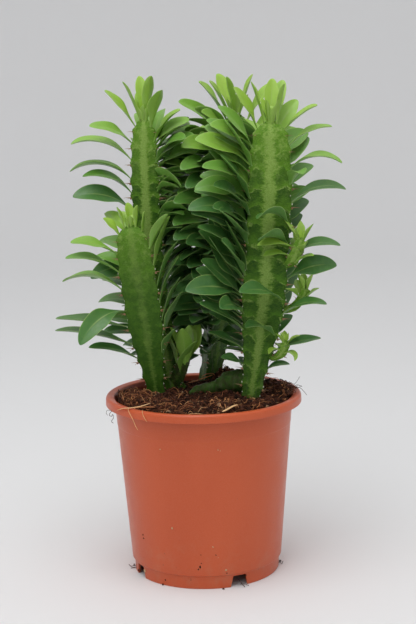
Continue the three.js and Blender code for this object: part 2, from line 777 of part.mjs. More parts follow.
function pot() {
  const skirt = POT_HEIGHT - RIM_SKIRT;
  const underFloor = FOOT_HEIGHT - FLOOR_THICKNESS;
  const profile = [
    [0, underFloor],
    [FOOT_RADIUS - WALL, underFloor],
    [FOOT_RADIUS - WALL, 0],
    [FOOT_RADIUS, 0],
    [FOOT_RADIUS + DRAFT, FOOT_HEIGHT - FOOT_STEP],
    [BODY_FOOT_RADIUS, FOOT_HEIGHT],
    [BODY_TOP_RADIUS, skirt],
    [BODY_TOP_RADIUS + DRAFT, POT_HEIGHT - RIM_THICKNESS],
    [RIM_RADIUS - RIM_THICKNESS + DRAFT, POT_HEIGHT - RIM_THICKNESS],
    [RIM_RADIUS - WALL, skirt],
    [RIM_RADIUS, skirt],
    [RIM_RADIUS - DRAFT, POT_HEIGHT - RIM_ROUND],
    [RIM_RADIUS - RIM_THICKNESS, POT_HEIGHT],
    [BODY_TOP_RADIUS + 2 * DRAFT, POT_HEIGHT - RIM_DISH],
    [insideRadius(POT_HEIGHT - INNER_LIP) + DRAFT / 2, POT_HEIGHT - INNER_LIP],
    [insideRadius(FOOT_HEIGHT), FOOT_HEIGHT],
    [0, FOOT_HEIGHT],
  ];
  let body = turned(profile, POT_SIDES);
  for (const bearing of NOTCH_BEARINGS) {
    body = body.subtract(notchSolid(bearing));
    for (const offset of DRAIN_OFFSETS) body = body.subtract(drainSolid(bearing + offset));
  }
  return namedMesh("pot", body, MATERIALS.pot);
}

// A gap in the foot ring, wider at the ground, at a bearing from the front.
function notchSolid(bearing) {
  const outline = new THREE.Shape([
    new THREE.Vector2(-NOTCH_FOOT_WIDTH / 2, -CUT_PAST),
    new THREE.Vector2(NOTCH_FOOT_WIDTH / 2, -CUT_PAST),
    new THREE.Vector2(NOTCH_TOP_WIDTH / 2, NOTCH_HEIGHT),
    new THREE.Vector2(-NOTCH_TOP_WIDTH / 2, NOTCH_HEIGHT),
  ]);
  const geometry = new THREE.ExtrudeGeometry(outline, { depth: NOTCH_DEPTH, bevelEnabled: false });
  geometry.rotateX(Math.PI / 2);
  geometry.translate(0, -(FOOT_RADIUS - NOTCH_DEPTH / 2), 0);
  geometry.rotateZ(radians(bearing));
  return solidOf(geometry);
}

function drainSolid(bearing) {
  const geometry = new THREE.CylinderGeometry(DRAIN_RADIUS, DRAIN_RADIUS, DRAIN_CUT, DRAIN_SIDES);
  geometry.rotateX(Math.PI / 2);
  geometry.translate(0, -DRAIN_CIRCLE, FOOT_HEIGHT - FLOOR_THICKNESS / 2);
  geometry.rotateZ(radians(bearing));
  return solidOf(geometry);
}

// The soil's surface: a low mound among the stems, with lumps from a sum of waves and a bank at one side.
function soilHeight(x, y) {
  const fall = SOIL_EDGE_DROP * (Math.hypot(x, y) / BODY_TOP_RADIUS) ** 4;
  const broad = Math.sin(BROAD_LUMPS.alongX * x + BROAD_LUMPS.start) * Math.cos(BROAD_LUMPS.alongY * y);
  const small = Math.sin(SMALL_LUMPS.alongY * y + SMALL_LUMPS.alongX * x);
  const bank = HEAP.height * Math.exp(-((Math.hypot(x - HEAP.x, y - HEAP.y) / HEAP.spread) ** 2) / 2);
  return SOIL_LEVEL - fall + BROAD_LUMPS.height * broad + SMALL_LUMPS.height * small + bank;
}

function soil() {
  const edgeRadius = insideRadius(SOIL_LEVEL - SOIL_EDGE_DROP - SOIL_BEVEL_HEIGHT) - GAP;
  const floor = FOOT_HEIGHT + GAP;
  const low = FOOT_HEIGHT + SOIL_BEVEL_HEIGHT;
  const lowRadius = insideRadius(low) - 2 * GAP;
  const ringAt = (radius) =>
    Array.from({ length: SOIL_SECTORS }, (_, j) => levelPoint(radius, (2 * Math.PI * j) / SOIL_SECTORS));
  const surface = [...SOIL_RINGS, edgeRadius].flatMap(ringAt);
  for (const point of surface) point.setZ(soilHeight(point.x, point.y));
  const wall = ringAt(lowRadius).map((point) => point.setZ(low));
  const foot = ringAt(lowRadius - SOIL_BEVEL).map((point) => point.setZ(floor));
  const points = [new THREE.Vector3(0, 0, soilHeight(0, 0)), ...surface, ...wall, ...foot];
  points.push(new THREE.Vector3(0, 0, floor));
  const triangles = [];
  const at = (ring, j) => 1 + ring * SOIL_SECTORS + (j % SOIL_SECTORS);
  const ringCount = SOIL_RINGS.length + 3;
  for (let j = 0; j < SOIL_SECTORS; j++) {
    triangles.push([0, at(0, j), at(0, j + 1)]);
    for (let k = 0; k + 1 < ringCount; k++)
      triangles.push([at(k, j), at(k + 1, j), at(k + 1, j + 1)], [at(k, j), at(k + 1, j + 1), at(k, j + 1)]);
    triangles.push([at(ringCount - 1, j + 1), at(ringCount - 1, j), points.length - 1]);
  }
  let body = solidOf(triangleGeometry(points, triangles));
  for (const stem of STEMS.filter((s) => !s.shoot))
    body = body.subtract(pegSolid(stem, GAP, SOIL_LEVEL - PEG_DEPTH - GAP, SOIL_LEVEL + HOLE_TOP));
  return namedMesh("soil", body, MATERIALS.soil);
}

const leaves = placeLeaves(STEMS);
const plant = new THREE.Group();
plant.add(pot(), soil());
for (const name of new Set(STEMS.map((stem) => stem.name))) plant.add(leafyStem(name, leaves));

// The origin is the bottom centre of the box round the whole plant.
const box = new THREE.Box3().setFromObject(plant);
const centre = box.getCenter(new THREE.Vector3());
plant.position.set(-centre.x, -centre.y, -box.min.z);

export default plant;
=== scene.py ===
# %% [markdown]
# # A milk-tree euphorbia in its nursery pot
#
# The plant is a clump of upright, three-winged stems. Every wing carries a row of teeth, and every tooth
# carries one spoon-shaped leaf with a pair of small thorns under it. The clump stands in peat in a
# terracotta-coloured plastic pot.
#
# Someone has already made a plain, exact construction model of it. It fixes where everything is and how big it
# is. In this lesson each plain solid is dressed: a smoother, livelier mesh takes its place, and gets the
# finish of the living thing. The construction model is loaded first and is never moved, so whatever we make
# only has to use the same numbers.

import math
from types import SimpleNamespace

import bmesh
import bpy
import numpy as np
from mathutils import Matrix, Vector, noise


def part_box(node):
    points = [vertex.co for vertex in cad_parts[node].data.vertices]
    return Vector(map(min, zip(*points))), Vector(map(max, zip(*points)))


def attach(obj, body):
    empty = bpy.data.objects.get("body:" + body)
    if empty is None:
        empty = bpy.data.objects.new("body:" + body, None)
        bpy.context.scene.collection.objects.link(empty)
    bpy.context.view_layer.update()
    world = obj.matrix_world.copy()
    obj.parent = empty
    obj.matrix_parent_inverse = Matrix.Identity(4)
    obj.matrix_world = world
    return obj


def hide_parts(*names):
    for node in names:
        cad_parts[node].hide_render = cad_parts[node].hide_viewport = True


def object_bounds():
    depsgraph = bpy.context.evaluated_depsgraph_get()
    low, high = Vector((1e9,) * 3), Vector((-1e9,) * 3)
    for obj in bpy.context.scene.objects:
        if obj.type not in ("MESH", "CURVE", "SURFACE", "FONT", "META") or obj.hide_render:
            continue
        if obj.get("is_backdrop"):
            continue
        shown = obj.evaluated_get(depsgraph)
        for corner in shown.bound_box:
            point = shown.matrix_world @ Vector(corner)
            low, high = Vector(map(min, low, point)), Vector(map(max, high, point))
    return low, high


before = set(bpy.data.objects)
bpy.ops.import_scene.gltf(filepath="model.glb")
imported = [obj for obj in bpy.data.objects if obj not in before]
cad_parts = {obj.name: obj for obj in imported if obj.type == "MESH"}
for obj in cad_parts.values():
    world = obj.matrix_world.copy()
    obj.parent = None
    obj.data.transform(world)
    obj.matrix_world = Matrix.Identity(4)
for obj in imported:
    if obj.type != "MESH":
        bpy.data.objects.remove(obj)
cad_low, cad_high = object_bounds()
print("construction model, from", tuple(cad_low), "to", tuple(cad_high))

# %% [markdown]
# ## One plan, in millimetres
#
# Blender counts in metres, but a pot plant is easier to think about in millimetres. So all shapes below are
# planned in millimetres from a point on the ground under the middle of the pot, with the front towards -Y.
# One short function turns plan points into frame points. The pot's own box tells us where that point is, how
# high the pot is and how wide its rim is.

# %% The plan's origin and the pot's main sizes
MM = 0.001
pot_low, pot_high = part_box("pot")
PLAN_ORIGIN = np.array(((pot_low.x + pot_high.x) / 2, (pot_low.y + pot_high.y) / 2, 0.0))
POT_HEIGHT = pot_high.z / MM
RIM_RADIUS = (pot_high.y - pot_low.y) / 2 / MM
UP = np.array((0.0, 0.0, 1.0))


def in_frame(points):
    return np.asarray(points, float) * MM + PLAN_ORIGIN


print("pot", round(POT_HEIGHT, 1), "mm high, rim radius", round(RIM_RADIUS, 1), "mm")

# %% [markdown]
# ## The camera
#
# The camera stands where the photographer stood: 1.2 m in front of the pot, a little above the tallest leaf
# and looking down by nine and a half degrees, with the picture tilted by about one degree. A long lens keeps
# the pot's sides almost straight. The frame is upright, 416 by 624 picture points, and Blender's lens length
# belongs to the longer side, so a focal length counted in picture points becomes millimetres by 36 / 624.

# %% Camera
EYE = (5.4, -1200.0, 427.0)
PITCH = math.radians(9.48)
ROLL = math.radians(-1.22)
FOCAL_PIXELS = 1411
FRAME_HEIGHT_PIXELS = 624
SENSOR = 36.0

camera_data = bpy.data.cameras.new("camera")
camera_data.sensor_width = SENSOR
camera_data.lens = SENSOR * FOCAL_PIXELS / FRAME_HEIGHT_PIXELS
camera = bpy.data.objects.new("camera", camera_data)
bpy.context.scene.collection.objects.link(camera)
bpy.context.scene.camera = camera

ahead = Vector((0, math.cos(PITCH), -math.sin(PITCH)))
level_right = Vector((1, 0, 0))
level_up = level_right.cross(ahead)
picture_right = level_right * math.cos(ROLL) + level_up * math.sin(ROLL)
picture_up = level_up * math.cos(ROLL) - level_right * math.sin(ROLL)
turn = Matrix((picture_right, picture_up, -ahead)).transposed()
camera.matrix_world = Matrix.Translation(Vector(in_frame(EYE))) @ turn.to_4x4()
print("lens", round(camera_data.lens, 1), "mm")

# %% [markdown]
# ## The studio
#
# Behind the plant there is nothing but seamless paper: near-white under the pot and a soft light grey higher
# up, with no edge between them. A round dish does this for every camera angle. Its flat bottom is the floor
# and its rim curves up all round, well outside the camera's path. The dish is open at the top, so that the
# even light of the world falls in, and two large soft lamps add the gentle light from above and in front.

# %% Floor and backdrop in one seamless dish
FLOOR_RADIUS = 2.1
CURVE_RADIUS = 1.3
CURVE_STEPS = 12
FLOOR_RINGS = (0.6, 1.4)
WALL_TOP = 3.2
DISH_SIDES = 96
PAPER_COLOUR = (0.787, 0.79, 0.798, 1)


def dish_profile():
    bend = [math.pi / 2 * k / CURVE_STEPS for k in range(CURVE_STEPS + 1)]
    curve = [(FLOOR_RADIUS + CURVE_RADIUS * math.sin(a), CURVE_RADIUS * (1 - math.cos(a))) for a in bend]
    return [*((radius, 0.0) for radius in FLOOR_RINGS), *curve, (FLOOR_RADIUS + CURVE_RADIUS, WALL_TOP)]


def dish_mesh():
    mesh = bmesh.new()
    rings = []
    for radius, height in dish_profile():
        angles = [2 * math.pi * k / DISH_SIDES for k in range(DISH_SIDES)]
        rings.append([mesh.verts.new((radius * math.cos(a), radius * math.sin(a), height)) for a in angles])
    mesh.faces.new(rings[0])
    for low, high in zip(rings, rings[1:]):
        for k in range(DISH_SIDES):
            after = (k + 1) % DISH_SIDES
            mesh.faces.new((low[k], low[after], high[after], high[k]))
    bmesh.ops.recalc_face_normals(mesh, faces=mesh.faces)
    data = bpy.data.meshes.new("studio_paper")
    mesh.to_mesh(data)
    mesh.free()
    data.polygons.foreach_set("use_smooth", [True] * len(data.polygons))
    return data


paper = bpy.data.objects.new("studio_paper", dish_mesh())
bpy.context.scene.collection.objects.link(paper)
paper.location = PLAN_ORIGIN
paper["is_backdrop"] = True

paper_finish = bpy.data.materials.new("studio_paper")
paper_finish.use_nodes = True
paper_shader = paper_finish.node_tree.nodes["Principled BSDF"]
paper_shader.inputs["Base Color"].default_value = PAPER_COLOUR
paper_shader.inputs["Roughness"].default_value = 0.9
paper_shader.inputs["Specular IOR Level"].default_value = 0.1
paper.data.materials.append(paper_finish)
print("dish", len(paper.data.polygons), "faces")

# %% Soft lamps and the even light of the room
ROOM_COLOUR, ROOM_STRENGTH = (1.0, 0.995, 0.99, 1), 0.86
bpy.context.scene.view_settings.view_transform = "Standard"
bpy.context.scene.view_settings.look = "None"


def soft_lamp(name, place, target, size, watts):
    data = bpy.data.lights.new(name, "AREA")
    data.shape = "DISK"
    data.size = size
    data.energy = watts
    lamp = bpy.data.objects.new(name, data)
    bpy.context.scene.collection.objects.link(lamp)
    lamp.location = place
    lamp.rotation_euler = (Vector(target) - Vector(place)).to_track_quat("-Z", "Y").to_euler()


soft_lamp("lamp_above", place=(-0.15, -0.5, 1.5), target=(0, -0.1, 0.1), size=1.1, watts=8.5)
soft_lamp("lamp_front", place=(-0.8, -1.9, 1.6), target=(0, 0, 0.2), size=1.4, watts=5)
world = bpy.data.worlds.new("room")
world.use_nodes = True
world.node_tree.nodes["Background"].inputs["Color"].default_value = ROOM_COLOUR
world.node_tree.nodes["Background"].inputs["Strength"].default_value = ROOM_STRENGTH
bpy.context.scene.world = world

# %% [markdown]
# ## Helpers for growing things
#
# Leaves and stems are grown by a rule with a seeded draw: numbers that look random but come out the same each
# time. The construction model grew its leaves by the same rule, so ours stand in the same places. Two small
# curves help as well: one eases smoothly from 0 to 1, and one runs softly through a handful of given points.

# %% Seeded draw and easing
DRAW_FACTOR, DRAW_STEP, DRAW_RANGE = 1664525, 1013904223, 2**32


def seeded_draw(seed):
    state = seed
    while True:
        state = (state * DRAW_FACTOR + DRAW_STEP) % DRAW_RANGE
        yield state / DRAW_RANGE


def vary(chance, spread):
    """A chance from 0 to 1 becomes a step to one side or the other, by half the spread at most."""
    return (chance - 0.5) * spread


def smooth_share(x):
    x = np.clip(x, 0, 1)
    return x**2 * (3 - 2 * x)


def unit(vectors):
    return vectors / np.linalg.norm(vectors, axis=-1, keepdims=True)


def smooth_path(points, count=16):
    """A soft curve through the points."""
    points = np.asarray(points, float)
    grown = np.concatenate((2 * points[:1] - points[1:2], points, 2 * points[-1:] - points[-2:-1]))
    path = []
    for t in np.linspace(0, len(points) - 1.0001, count):
        k, f = int(t), t - int(t)
        a, b, c, d = grown[k: k + 4]
        bend, twist = 2 * a - 5 * b + 4 * c - d, 3 * b - a - 3 * c + d
        path.append(0.5 * (2 * b + (c - a) * f + bend * f**2 + twist * f**3))
    return np.array(path)


sample_draw = seeded_draw(7)
print("first draws from seed 7:", [round(next(sample_draw), 3) for _ in range(3)])

# %% [markdown]
# ## From points to a Blender piece
#
# A mesh is a list of points and a list of faces. All our plant parts come out of numpy as such lists, so one
# function makes the Blender object from them, places it in the frame, gives it its finish and lets it ride on
# the plant. Extra numbers can go with each point, such as how far along a leaf it lies. A finish can read them
# later, and that is how a leaf knows where its midrib is without any picture on it.

# %% Make a piece
def new_piece(name, points, faces, finish, marks=None, replaces=None):
    mesh = bpy.data.meshes.new(name)
    mesh.from_pydata(in_frame(points).tolist(), [], faces)
    mesh.polygons.foreach_set("use_smooth", [True] * len(mesh.polygons))
    for mark, values in (marks or {}).items():
        mesh.attributes.new(mark, "FLOAT", "POINT").data.foreach_set("value", np.asarray(values, np.float32))
    mesh.materials.append(finish)
    piece = bpy.data.objects.new(name, mesh)
    bpy.context.scene.collection.objects.link(piece)
    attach(piece, "root")
    if replaces:
        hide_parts(replaces)
    print(name, len(mesh.vertices), "points", len(mesh.polygons), "faces")
    return piece


class Gathered:
    """Points, faces and marks of many small bodies that become one piece."""

    def __init__(self):
        self.points, self.faces, self.marks, self.count = [], [], {}, 0

    def add(self, points, faces, **marks):
        self.points.append(points)
        self.faces.extend([tuple(int(k) + self.count for k in face) for face in faces])
        for mark, values in marks.items():
            whole = np.broadcast_to(np.asarray(values, float), len(points))
            self.marks.setdefault(mark, []).append(whole)
        self.count += len(points)

    def piece(self, name, finish, slot, replaces=None):
        marks = {mark: np.concatenate(parts) for mark, parts in self.marks.items()}
        return new_piece(name, np.concatenate(self.points), self.faces, finish, marks, replaces)


def tube_faces(rings, around):
    """Four-sided faces between rings of points, with a flat cap at each end."""
    faces = []
    for k in range(rings - 1):
        for j in range(around):
            after = (j + 1) % around
            faces.append((k * around + j, k * around + after, (k + 1) * around + after, (k + 1) * around + j))
    faces.append(tuple(reversed(range(around))))
    faces.append(tuple((rings - 1) * around + j for j in range(around)))
    return faces


print("a tube of 3 rings with 4 points each has", len(tube_faces(3, 4)), "faces")

# %% [markdown]
# ## Mixing a finish
#
# A finish is a small network of nodes that ends in one shader. The few sorts of node that we need most get a
# short method each, so that a finish below reads like a recipe: take noise at this scale, turn it into a
# colour between these stops, mix it over the last colour by this share, and raise the surface by that much.

# %% A short way to write node recipes
class Finish:
    def __init__(self, name, roughness=0.5, specular=0.5):
        self.material = bpy.data.materials.new(name)
        self.material.use_nodes = True
        self.tree = self.material.node_tree
        self.shader = self.tree.nodes["Principled BSDF"]
        self.shader.inputs["Roughness"].default_value = roughness
        self.shader.inputs["Specular IOR Level"].default_value = specular
        self.place = self.tree.nodes.new("ShaderNodeTexCoord").outputs["Object"]

    def node(self, kind, inputs=None, **settings):
        made = self.tree.nodes.new(kind)
        for key, value in settings.items():
            setattr(made, key, value)
        for key, value in (inputs or {}).items():
            if isinstance(value, bpy.types.NodeSocket):
                self.tree.links.new(value, made.inputs[key])
            else:
                made.inputs[key].default_value = value
        return made

    def mark(self, name):
        return self.node("ShaderNodeAttribute", attribute_name=name).outputs["Fac"]

    def noise(self, scale, detail=4.0, rough=0.5, stretch=(1, 1, 1)):
        place = self.place
        if stretch != (1, 1, 1):
            place = self.node("ShaderNodeMapping", {"Vector": place, "Scale": stretch}).outputs["Vector"]
        inputs = {"Vector": place, "Scale": scale, "Detail": detail, "Roughness": rough}
        return self.node("ShaderNodeTexNoise", inputs).outputs["Fac"]

    def math(self, operation, a, b=0.0):
        return self.node("ShaderNodeMath", {0: a, 1: b}, operation=operation).outputs[0]

    def vector_math(self, operation, *values):
        return self.node("ShaderNodeVectorMath", dict(enumerate(values)), operation=operation).outputs

    def times(self, value, *others):
        for other in others:
            value = self.math("MULTIPLY", value, other)
        return value

    def spread(self, value, low, high, to_low=0.0, to_high=1.0):
        inputs = {"Value": value, "From Min": low, "From Max": high, "To Min": to_low, "To Max": to_high}
        return self.node("ShaderNodeMapRange", inputs, interpolation_type="SMOOTHSTEP").outputs["Result"]

    def colours(self, value, stops):
        made = self.node("ShaderNodeValToRGB", {"Fac": value})
        ramp = made.color_ramp
        while len(ramp.elements) < len(stops):
            ramp.elements.new(1.0)
        for element, (position, colour) in zip(ramp.elements, stops):
            element.position = position
            element.color = (*colour, 1)
        return made.outputs["Color"]

    def mix(self, share, under, over):
        made = self.node("ShaderNodeMix", {"Factor": share}, data_type="RGBA")
        for key, value in (("A", under), ("B", over)):
            socket = next(s for s in made.inputs if s.name == key and s.type == "RGBA")
            if isinstance(value, bpy.types.NodeSocket):
                self.tree.links.new(value, socket)
            else:
                socket.default_value = (*value, 1)
        return next(s for s in made.outputs if s.type == "RGBA")

    def colour(self, value):
        self.tree.links.new(value, self.shader.inputs["Base Color"])

    def roughness(self, value):
        self.tree.links.new(value, self.shader.inputs["Roughness"])

    def bump(self, height, distance, strength=1.0):
        inputs = {"Height": height, "Distance": distance, "Strength": strength}
        made = self.node("ShaderNodeBump", inputs)
        if self.shader.inputs["Normal"].links:
            self.tree.links.new(self.shader.inputs["Normal"].links[0].from_socket, made.inputs["Normal"])
        self.tree.links.new(made.outputs["Normal"], self.shader.inputs["Normal"])

    def let_light_in(self, share, reach, scale):
        """Some light enters the surface and comes out close by, as in wax. Reach is for red, green and blue."""
        self.shader.inputs["Subsurface Weight"].default_value = share
        self.shader.inputs["Subsurface Radius"].default_value = reach
        self.shader.inputs["Subsurface Scale"].default_value = scale


print("a finish can use", [name for name in vars(Finish) if not name.startswith("__")])

# %% [markdown]
# ## The plan of the stems
#
# Each stem is described by a bent line through a foot, a knee and a tip, by its radius from the middle to the
# edge of a wing, and by its three wings. A wing has a compass bearing, and says how its leaves differ from
# the general rule: how far they swing round the stem, how far the blade rolls about its midrib, whether it
# rises or bends more, and how large it is. A few leaves have words of their own, by row from the tip. The
# shoots and the low buttress of a stem are entries with the same name. These are the construction model's
# own numbers, repeated here so that both grow the same plant.

# %% Stems, shoots and the buttress
SOIL_LEVEL = 155
ALL_ROWS = (0, 1, 2, 3)


def wing(bearing, swing=0, roll=0, rise=0, bend=0, size=1, own=None, bare=()):
    return SimpleNamespace(bearing=bearing, usual=(swing, roll, rise, bend, size), own=own or {}, bare=bare)


# dark darkens a stem's whole skin: partly its own colour, partly painted shade deep in the clump.
def stem(name, seed, foot, knee, tip, radius, slim, swell, pitch, wings, shoot=False, broad=1.0, dark=0.0):
    foot, knee, tip = (np.array(place, float) for place in (foot, knee, tip))
    return SimpleNamespace(
        name=name, seed=seed, foot=foot, knee=knee, tip=tip, radius=radius, slim=slim, swell=swell,
        pitch=pitch, wings=wings, shoot=shoot, broad=broad, dark=dark,
    )


front_right = [
    stem(
        "stem_front_right", 11, (39.5, -24, SOIL_LEVEL), (58, -24, 250), (60, -26, 388), 20.5, 0.44, 0.4, 15.3,
        [
            wing(210, -14, -44, 0, -4, 0.98, own={
                3: (-6, -50, 0, -20, 1.05), 4: (10, -30, 0, -20, 0.95), 5: (-6, -50, 0, 6, 0.95),
                6: (-16, -48, -2, 4, 1.02), 7: (-16, -40, 2, -16, 1.06), 8: (0, -34, 2, -32, 1),
                9: (14, -46, 0, -40, 0.98), 10: (-14, -56, -6, -10, 1.14), 11: (26, -46, -4, -16, 0.95),
                12: (0, -28, 4, -32, 1), 13: (-20, -20, 0, -30, 0.9),
            }),
            wing(330, 24, 30, 0, 0, 0.84, own={
                1: (10, 30, -12, 0, 0.9), 2: (20, 24, -6, 6, 0.82), 3: (26, 20, 2, 16, 0.8),
                4: (-40, 10, 4, 10, 0.7), 5: (24, 30, -2, 4, 0.9), 6: (-104, 30, 0, 10, 0.8),
                7: (-106, 30, -6, 0, 0.72), 9: (34, 40, 0, -10, 0.85), 10: (-122, -24, -6, -14, 1.06),
                12: (-106, -20, 0, 0, 0.86), 13: (22, 26, -14, -30, 1.05),
            }),
            wing(90, -56, 46, 6, -20, 1),
        ],
    ),
    stem(
        "stem_front_right", 12, (68, -30, 270), (78, -38, 272), (84, -38, 292), 5.5, 0.7, 0.3, 8,
        [
            wing(200, -10, -20, -30, 10, 0.5, own={1: (-10, -20, -40, 20, 0.75)}),
            wing(320, 0, 20, -20, 10, 0.42),
            wing(80, size=0.4),
        ],
        shoot=True,
    ),
    stem(
        "stem_front_right", 13, (68, -28, 232), (82, -30, 234), (88, -30, 250), 4.5, 0.7, 0.3, 7,
        [wing(220, rise=-10, bend=20, size=0.36), wing(340, rise=-10, bend=20, size=0.36), wing(100, size=0.36)],
        shoot=True,
    ),
    stem(
        "stem_front_right", 14, (57, -30, 191), (67, -33, 193), (70, -33, 205), 4.5, 0.7, 0.3, 7,
        [
            wing(220, rise=-20, bend=90, size=0.26),
            wing(340, 0, 20, -20, 130, 0.3),
            wing(100, bend=80, size=0.24),
        ],
        shoot=True,
    ),
    stem(
        "stem_front_right", 15, (-4, -2, 159), (13, -4, 165), (42, -18, 175), 12.5, 0.2, 0.75, 7,
        [wing(bearing, bare=ALL_ROWS) for bearing in (60, 180, 300)],
        shoot=True, dark=0.95,
    ),
]
front_left = [
    stem(
        "stem_front_left", 21, (-41, 6, SOIL_LEVEL), (-47, -8, 215), (-58, -20, 304), 17, 0.5, 0.5, 15.7,
        [
            wing(208, -22, -20, -6, -8, 0.98, own={
                2: (-20, -30, -22, -10, 0.9), 3: (-14, -10, -8, -12, 0.95), 4: (-24, -6, -6, 10, 1.06),
                5: (4, -50, -40, -4, 0.98), 6: (-20, -10, -36, -50, 1.14), 7: (-24, 0, -26, -40, 1.26),
                8: (-16, -24, -14, -30, 1.2), 9: (-20, 0, -20, 0, 0.6),
            }),
            wing(328, 30, 0, 28, -46, 0.84, own={2: (-10, 0, 10, -20, 0.8)}),
            wing(88, 56, -20, 0, 0, 0.9),
        ],
        dark=0.74,
    ),
]
back_right = [
    stem(
        "stem_back_right", 31, (5, 60, SOIL_LEVEL), (20, 46, 260), (33, 30, 393), 17.5, 0.65, 0.4, 15,
        [wing(133, 66, -44, 0, -4, 1.1), wing(253, -30, -40, 0, 0, 1), wing(13, 4, 30, 0, 0, 1)],
        dark=0.9,
    ),
]
back_left = [
    stem(
        "stem_back_left", 41, (-25, 25, SOIL_LEVEL), (-50, 25, 235), (-46, 19, 391), 12.8, 0.72, 0.3, 14.2,
        [
            wing(90, size=0.95),
            wing(205, -18, -26, 0, 4, 1, bare=(7, 8, 9, 11, 12, 13), own={
                1: (-14, -20, -10, -10, 1), 2: (-14, -30, -6, 0, 0.88), 3: (-18, -20, 0, 10, 1.04),
                4: (-18, -8, 0, 20, 1.02), 5: (-10, -16, 2, -4, 0.92), 6: (-20, -50, -6, 0, 0.96),
                10: (10, -56, -8, 20, 0.9),
            }),
            wing(335, 10, 30, 10, -10, 0.9, bare=(5, 7, 8, 10, 12, 13), own={
                0: (-60, 0, 4, 0, 0.96), 1: (-50, 20, 0, 0, 1), 2: (10, 30, 10, 0, 0.9),
                4: (10, 0, -10, -20, 0.6), 6: (30, 60, 0, 0, 0.7),
            }),
        ],
    ),
    stem(
        "stem_back_left", 42, (-26, 22, 162), (-18, 14, 168), (-15, 8, 184), 7, 0.8, 0.3, 9,
        [wing(290, 0, 10, 12, 0, 0.95), wing(50, 0, 30, 10, 0, 0.8), wing(170, 40, -20, 10, 0, 0.85)],
        shoot=True, broad=1.5, dark=0.96,
    ),
]
STEMS = front_right + front_left + back_right + back_left


def is_buttress(one):
    """A buttress bears neither leaves nor thorns: all its rows are bare."""
    return one.wings[0].bare == ALL_ROWS


print(len(STEMS), "stems, shoots and buttresses")

# %% [markdown]
# ## Where a stem is, and how thick
#
# The bent line of a stem is a quadratic curve. Because it always climbs, we can ask for its point at a height:
# that means solving a quadratic equation. The radius is slim at the foot, full above and rounded at the tip.

# %% Axis, radius and bearings of a stem
CAP_START = 0.78
CAP_POWER = 0.27
CAP_LIMIT = 0.995


def axis_at(one, z):
    z = np.asarray(z, float)
    z0, z1, z2 = one.foot[2], one.knee[2], one.tip[2]
    a, b, c = z0 - 2 * z1 + z2, 2 * (z1 - z0), z0 - z
    u = -c / b if abs(a) < 1e-9 else (-b + np.sqrt(np.maximum(0, b * b - 4 * a * c))) / (2 * a)
    u = np.asarray(u)[..., None]
    point = (1 - u) ** 2 * one.foot + 2 * u * (1 - u) * one.knee + u * u * one.tip
    slope = 2 * (1 - u) * (one.knee - one.foot) + 2 * u * (one.tip - one.knee)
    return point, unit(slope)


def wing_radius(one, z):
    share = (np.asarray(z, float) - one.foot[2]) / (one.tip[2] - one.foot[2])
    grown = one.slim + (1 - one.slim) * smooth_share(share / one.swell)
    cap = (1 - np.minimum(CAP_LIMIT, np.clip((share - CAP_START) / (1 - CAP_START), 0, 1))) ** CAP_POWER
    return one.radius * grown * cap


def cross_directions(tangent):
    across = unit(np.array((1.0, 0, 0)) - tangent * tangent[..., :1])
    return across, np.cross(tangent, across)


def outward(tangent, bearing):
    across, deep = cross_directions(tangent)
    return across * math.cos(math.radians(bearing)) + deep * math.sin(math.radians(bearing))


middle_point, _ = axis_at(STEMS[0], 270)
print("front right stem at 270 mm:", middle_point.round(1), "radius", wing_radius(STEMS[0], 270).round(1))

# %% [markdown]
# ## Teeth
#
# Teeth stand at an even pitch down each wing, closer together near the growing tip, and each is moved a
# little by the draw. Every tooth also draws five chances, which its leaf uses to differ from its neighbours.

# %% Teeth of a stem
TOOTH = 1.7
YOUNG_LEVELS = (0.8, 8, 22)
LOWEST_TOOTH, LOWEST_SHOOT_TOOTH, HIGHEST_TOOTH = 9, 4, 0.4
TOOTH_SHIFT, YOUNG_SHIFT = 3, 1
SHOOT_TOOTH_SHARE = 0.5


def tooth_levels(one):
    lowest = one.foot[2] + (LOWEST_SHOOT_TOOTH if one.shoot else LOWEST_TOOTH)
    levels = [one.tip[2] - below for below in YOUNG_LEVELS[: 2 if one.shoot else 3]]
    while levels[-1] - one.pitch > lowest:
        levels.append(levels[-1] - one.pitch)
    return levels


def teeth_of(one):
    draw = seeded_draw(one.seed)
    teeth = []
    for row, level in enumerate(tooth_levels(one)):
        for side, its_wing in enumerate(one.wings):
            shift = (TOOTH_SHIFT if row > 1 else YOUNG_SHIFT) * (next(draw) - 0.5)
            chance = [next(draw) for _ in range(5)]
            height = min(level + shift, one.tip[2] - HIGHEST_TOOTH)
            point, tangent = axis_at(one, height)
            out = outward(tangent, its_wing.bearing)
            reach = wing_radius(one, height) + TOOTH * (SHOOT_TOOTH_SHARE if one.shoot else 1)
            teeth.append(SimpleNamespace(
                stem=one, wing=its_wing, row=row, side=side, height=height, tangent=tangent, out=out,
                reach=reach, point=point + out * reach, chance=chance,
            ))
    return teeth


all_teeth = [tooth for one in STEMS for tooth in teeth_of(one)]
print(len(all_teeth), "teeth")

# %% [markdown]
# ## The rule for a leaf
#
# A young leaf at the tip is short, narrow and upright. Lower down it is longer and broader, leaves the stem at
# a flatter angle and arches over. Near the soil the leaves are small again. The tables give these trends by
# the distance below the tip. A leaf's midrib is part of a circle, so its shape needs only a few numbers: where
# it starts, its bearing, how steeply it rises, how much it bends, how it rolls, its length and its width.

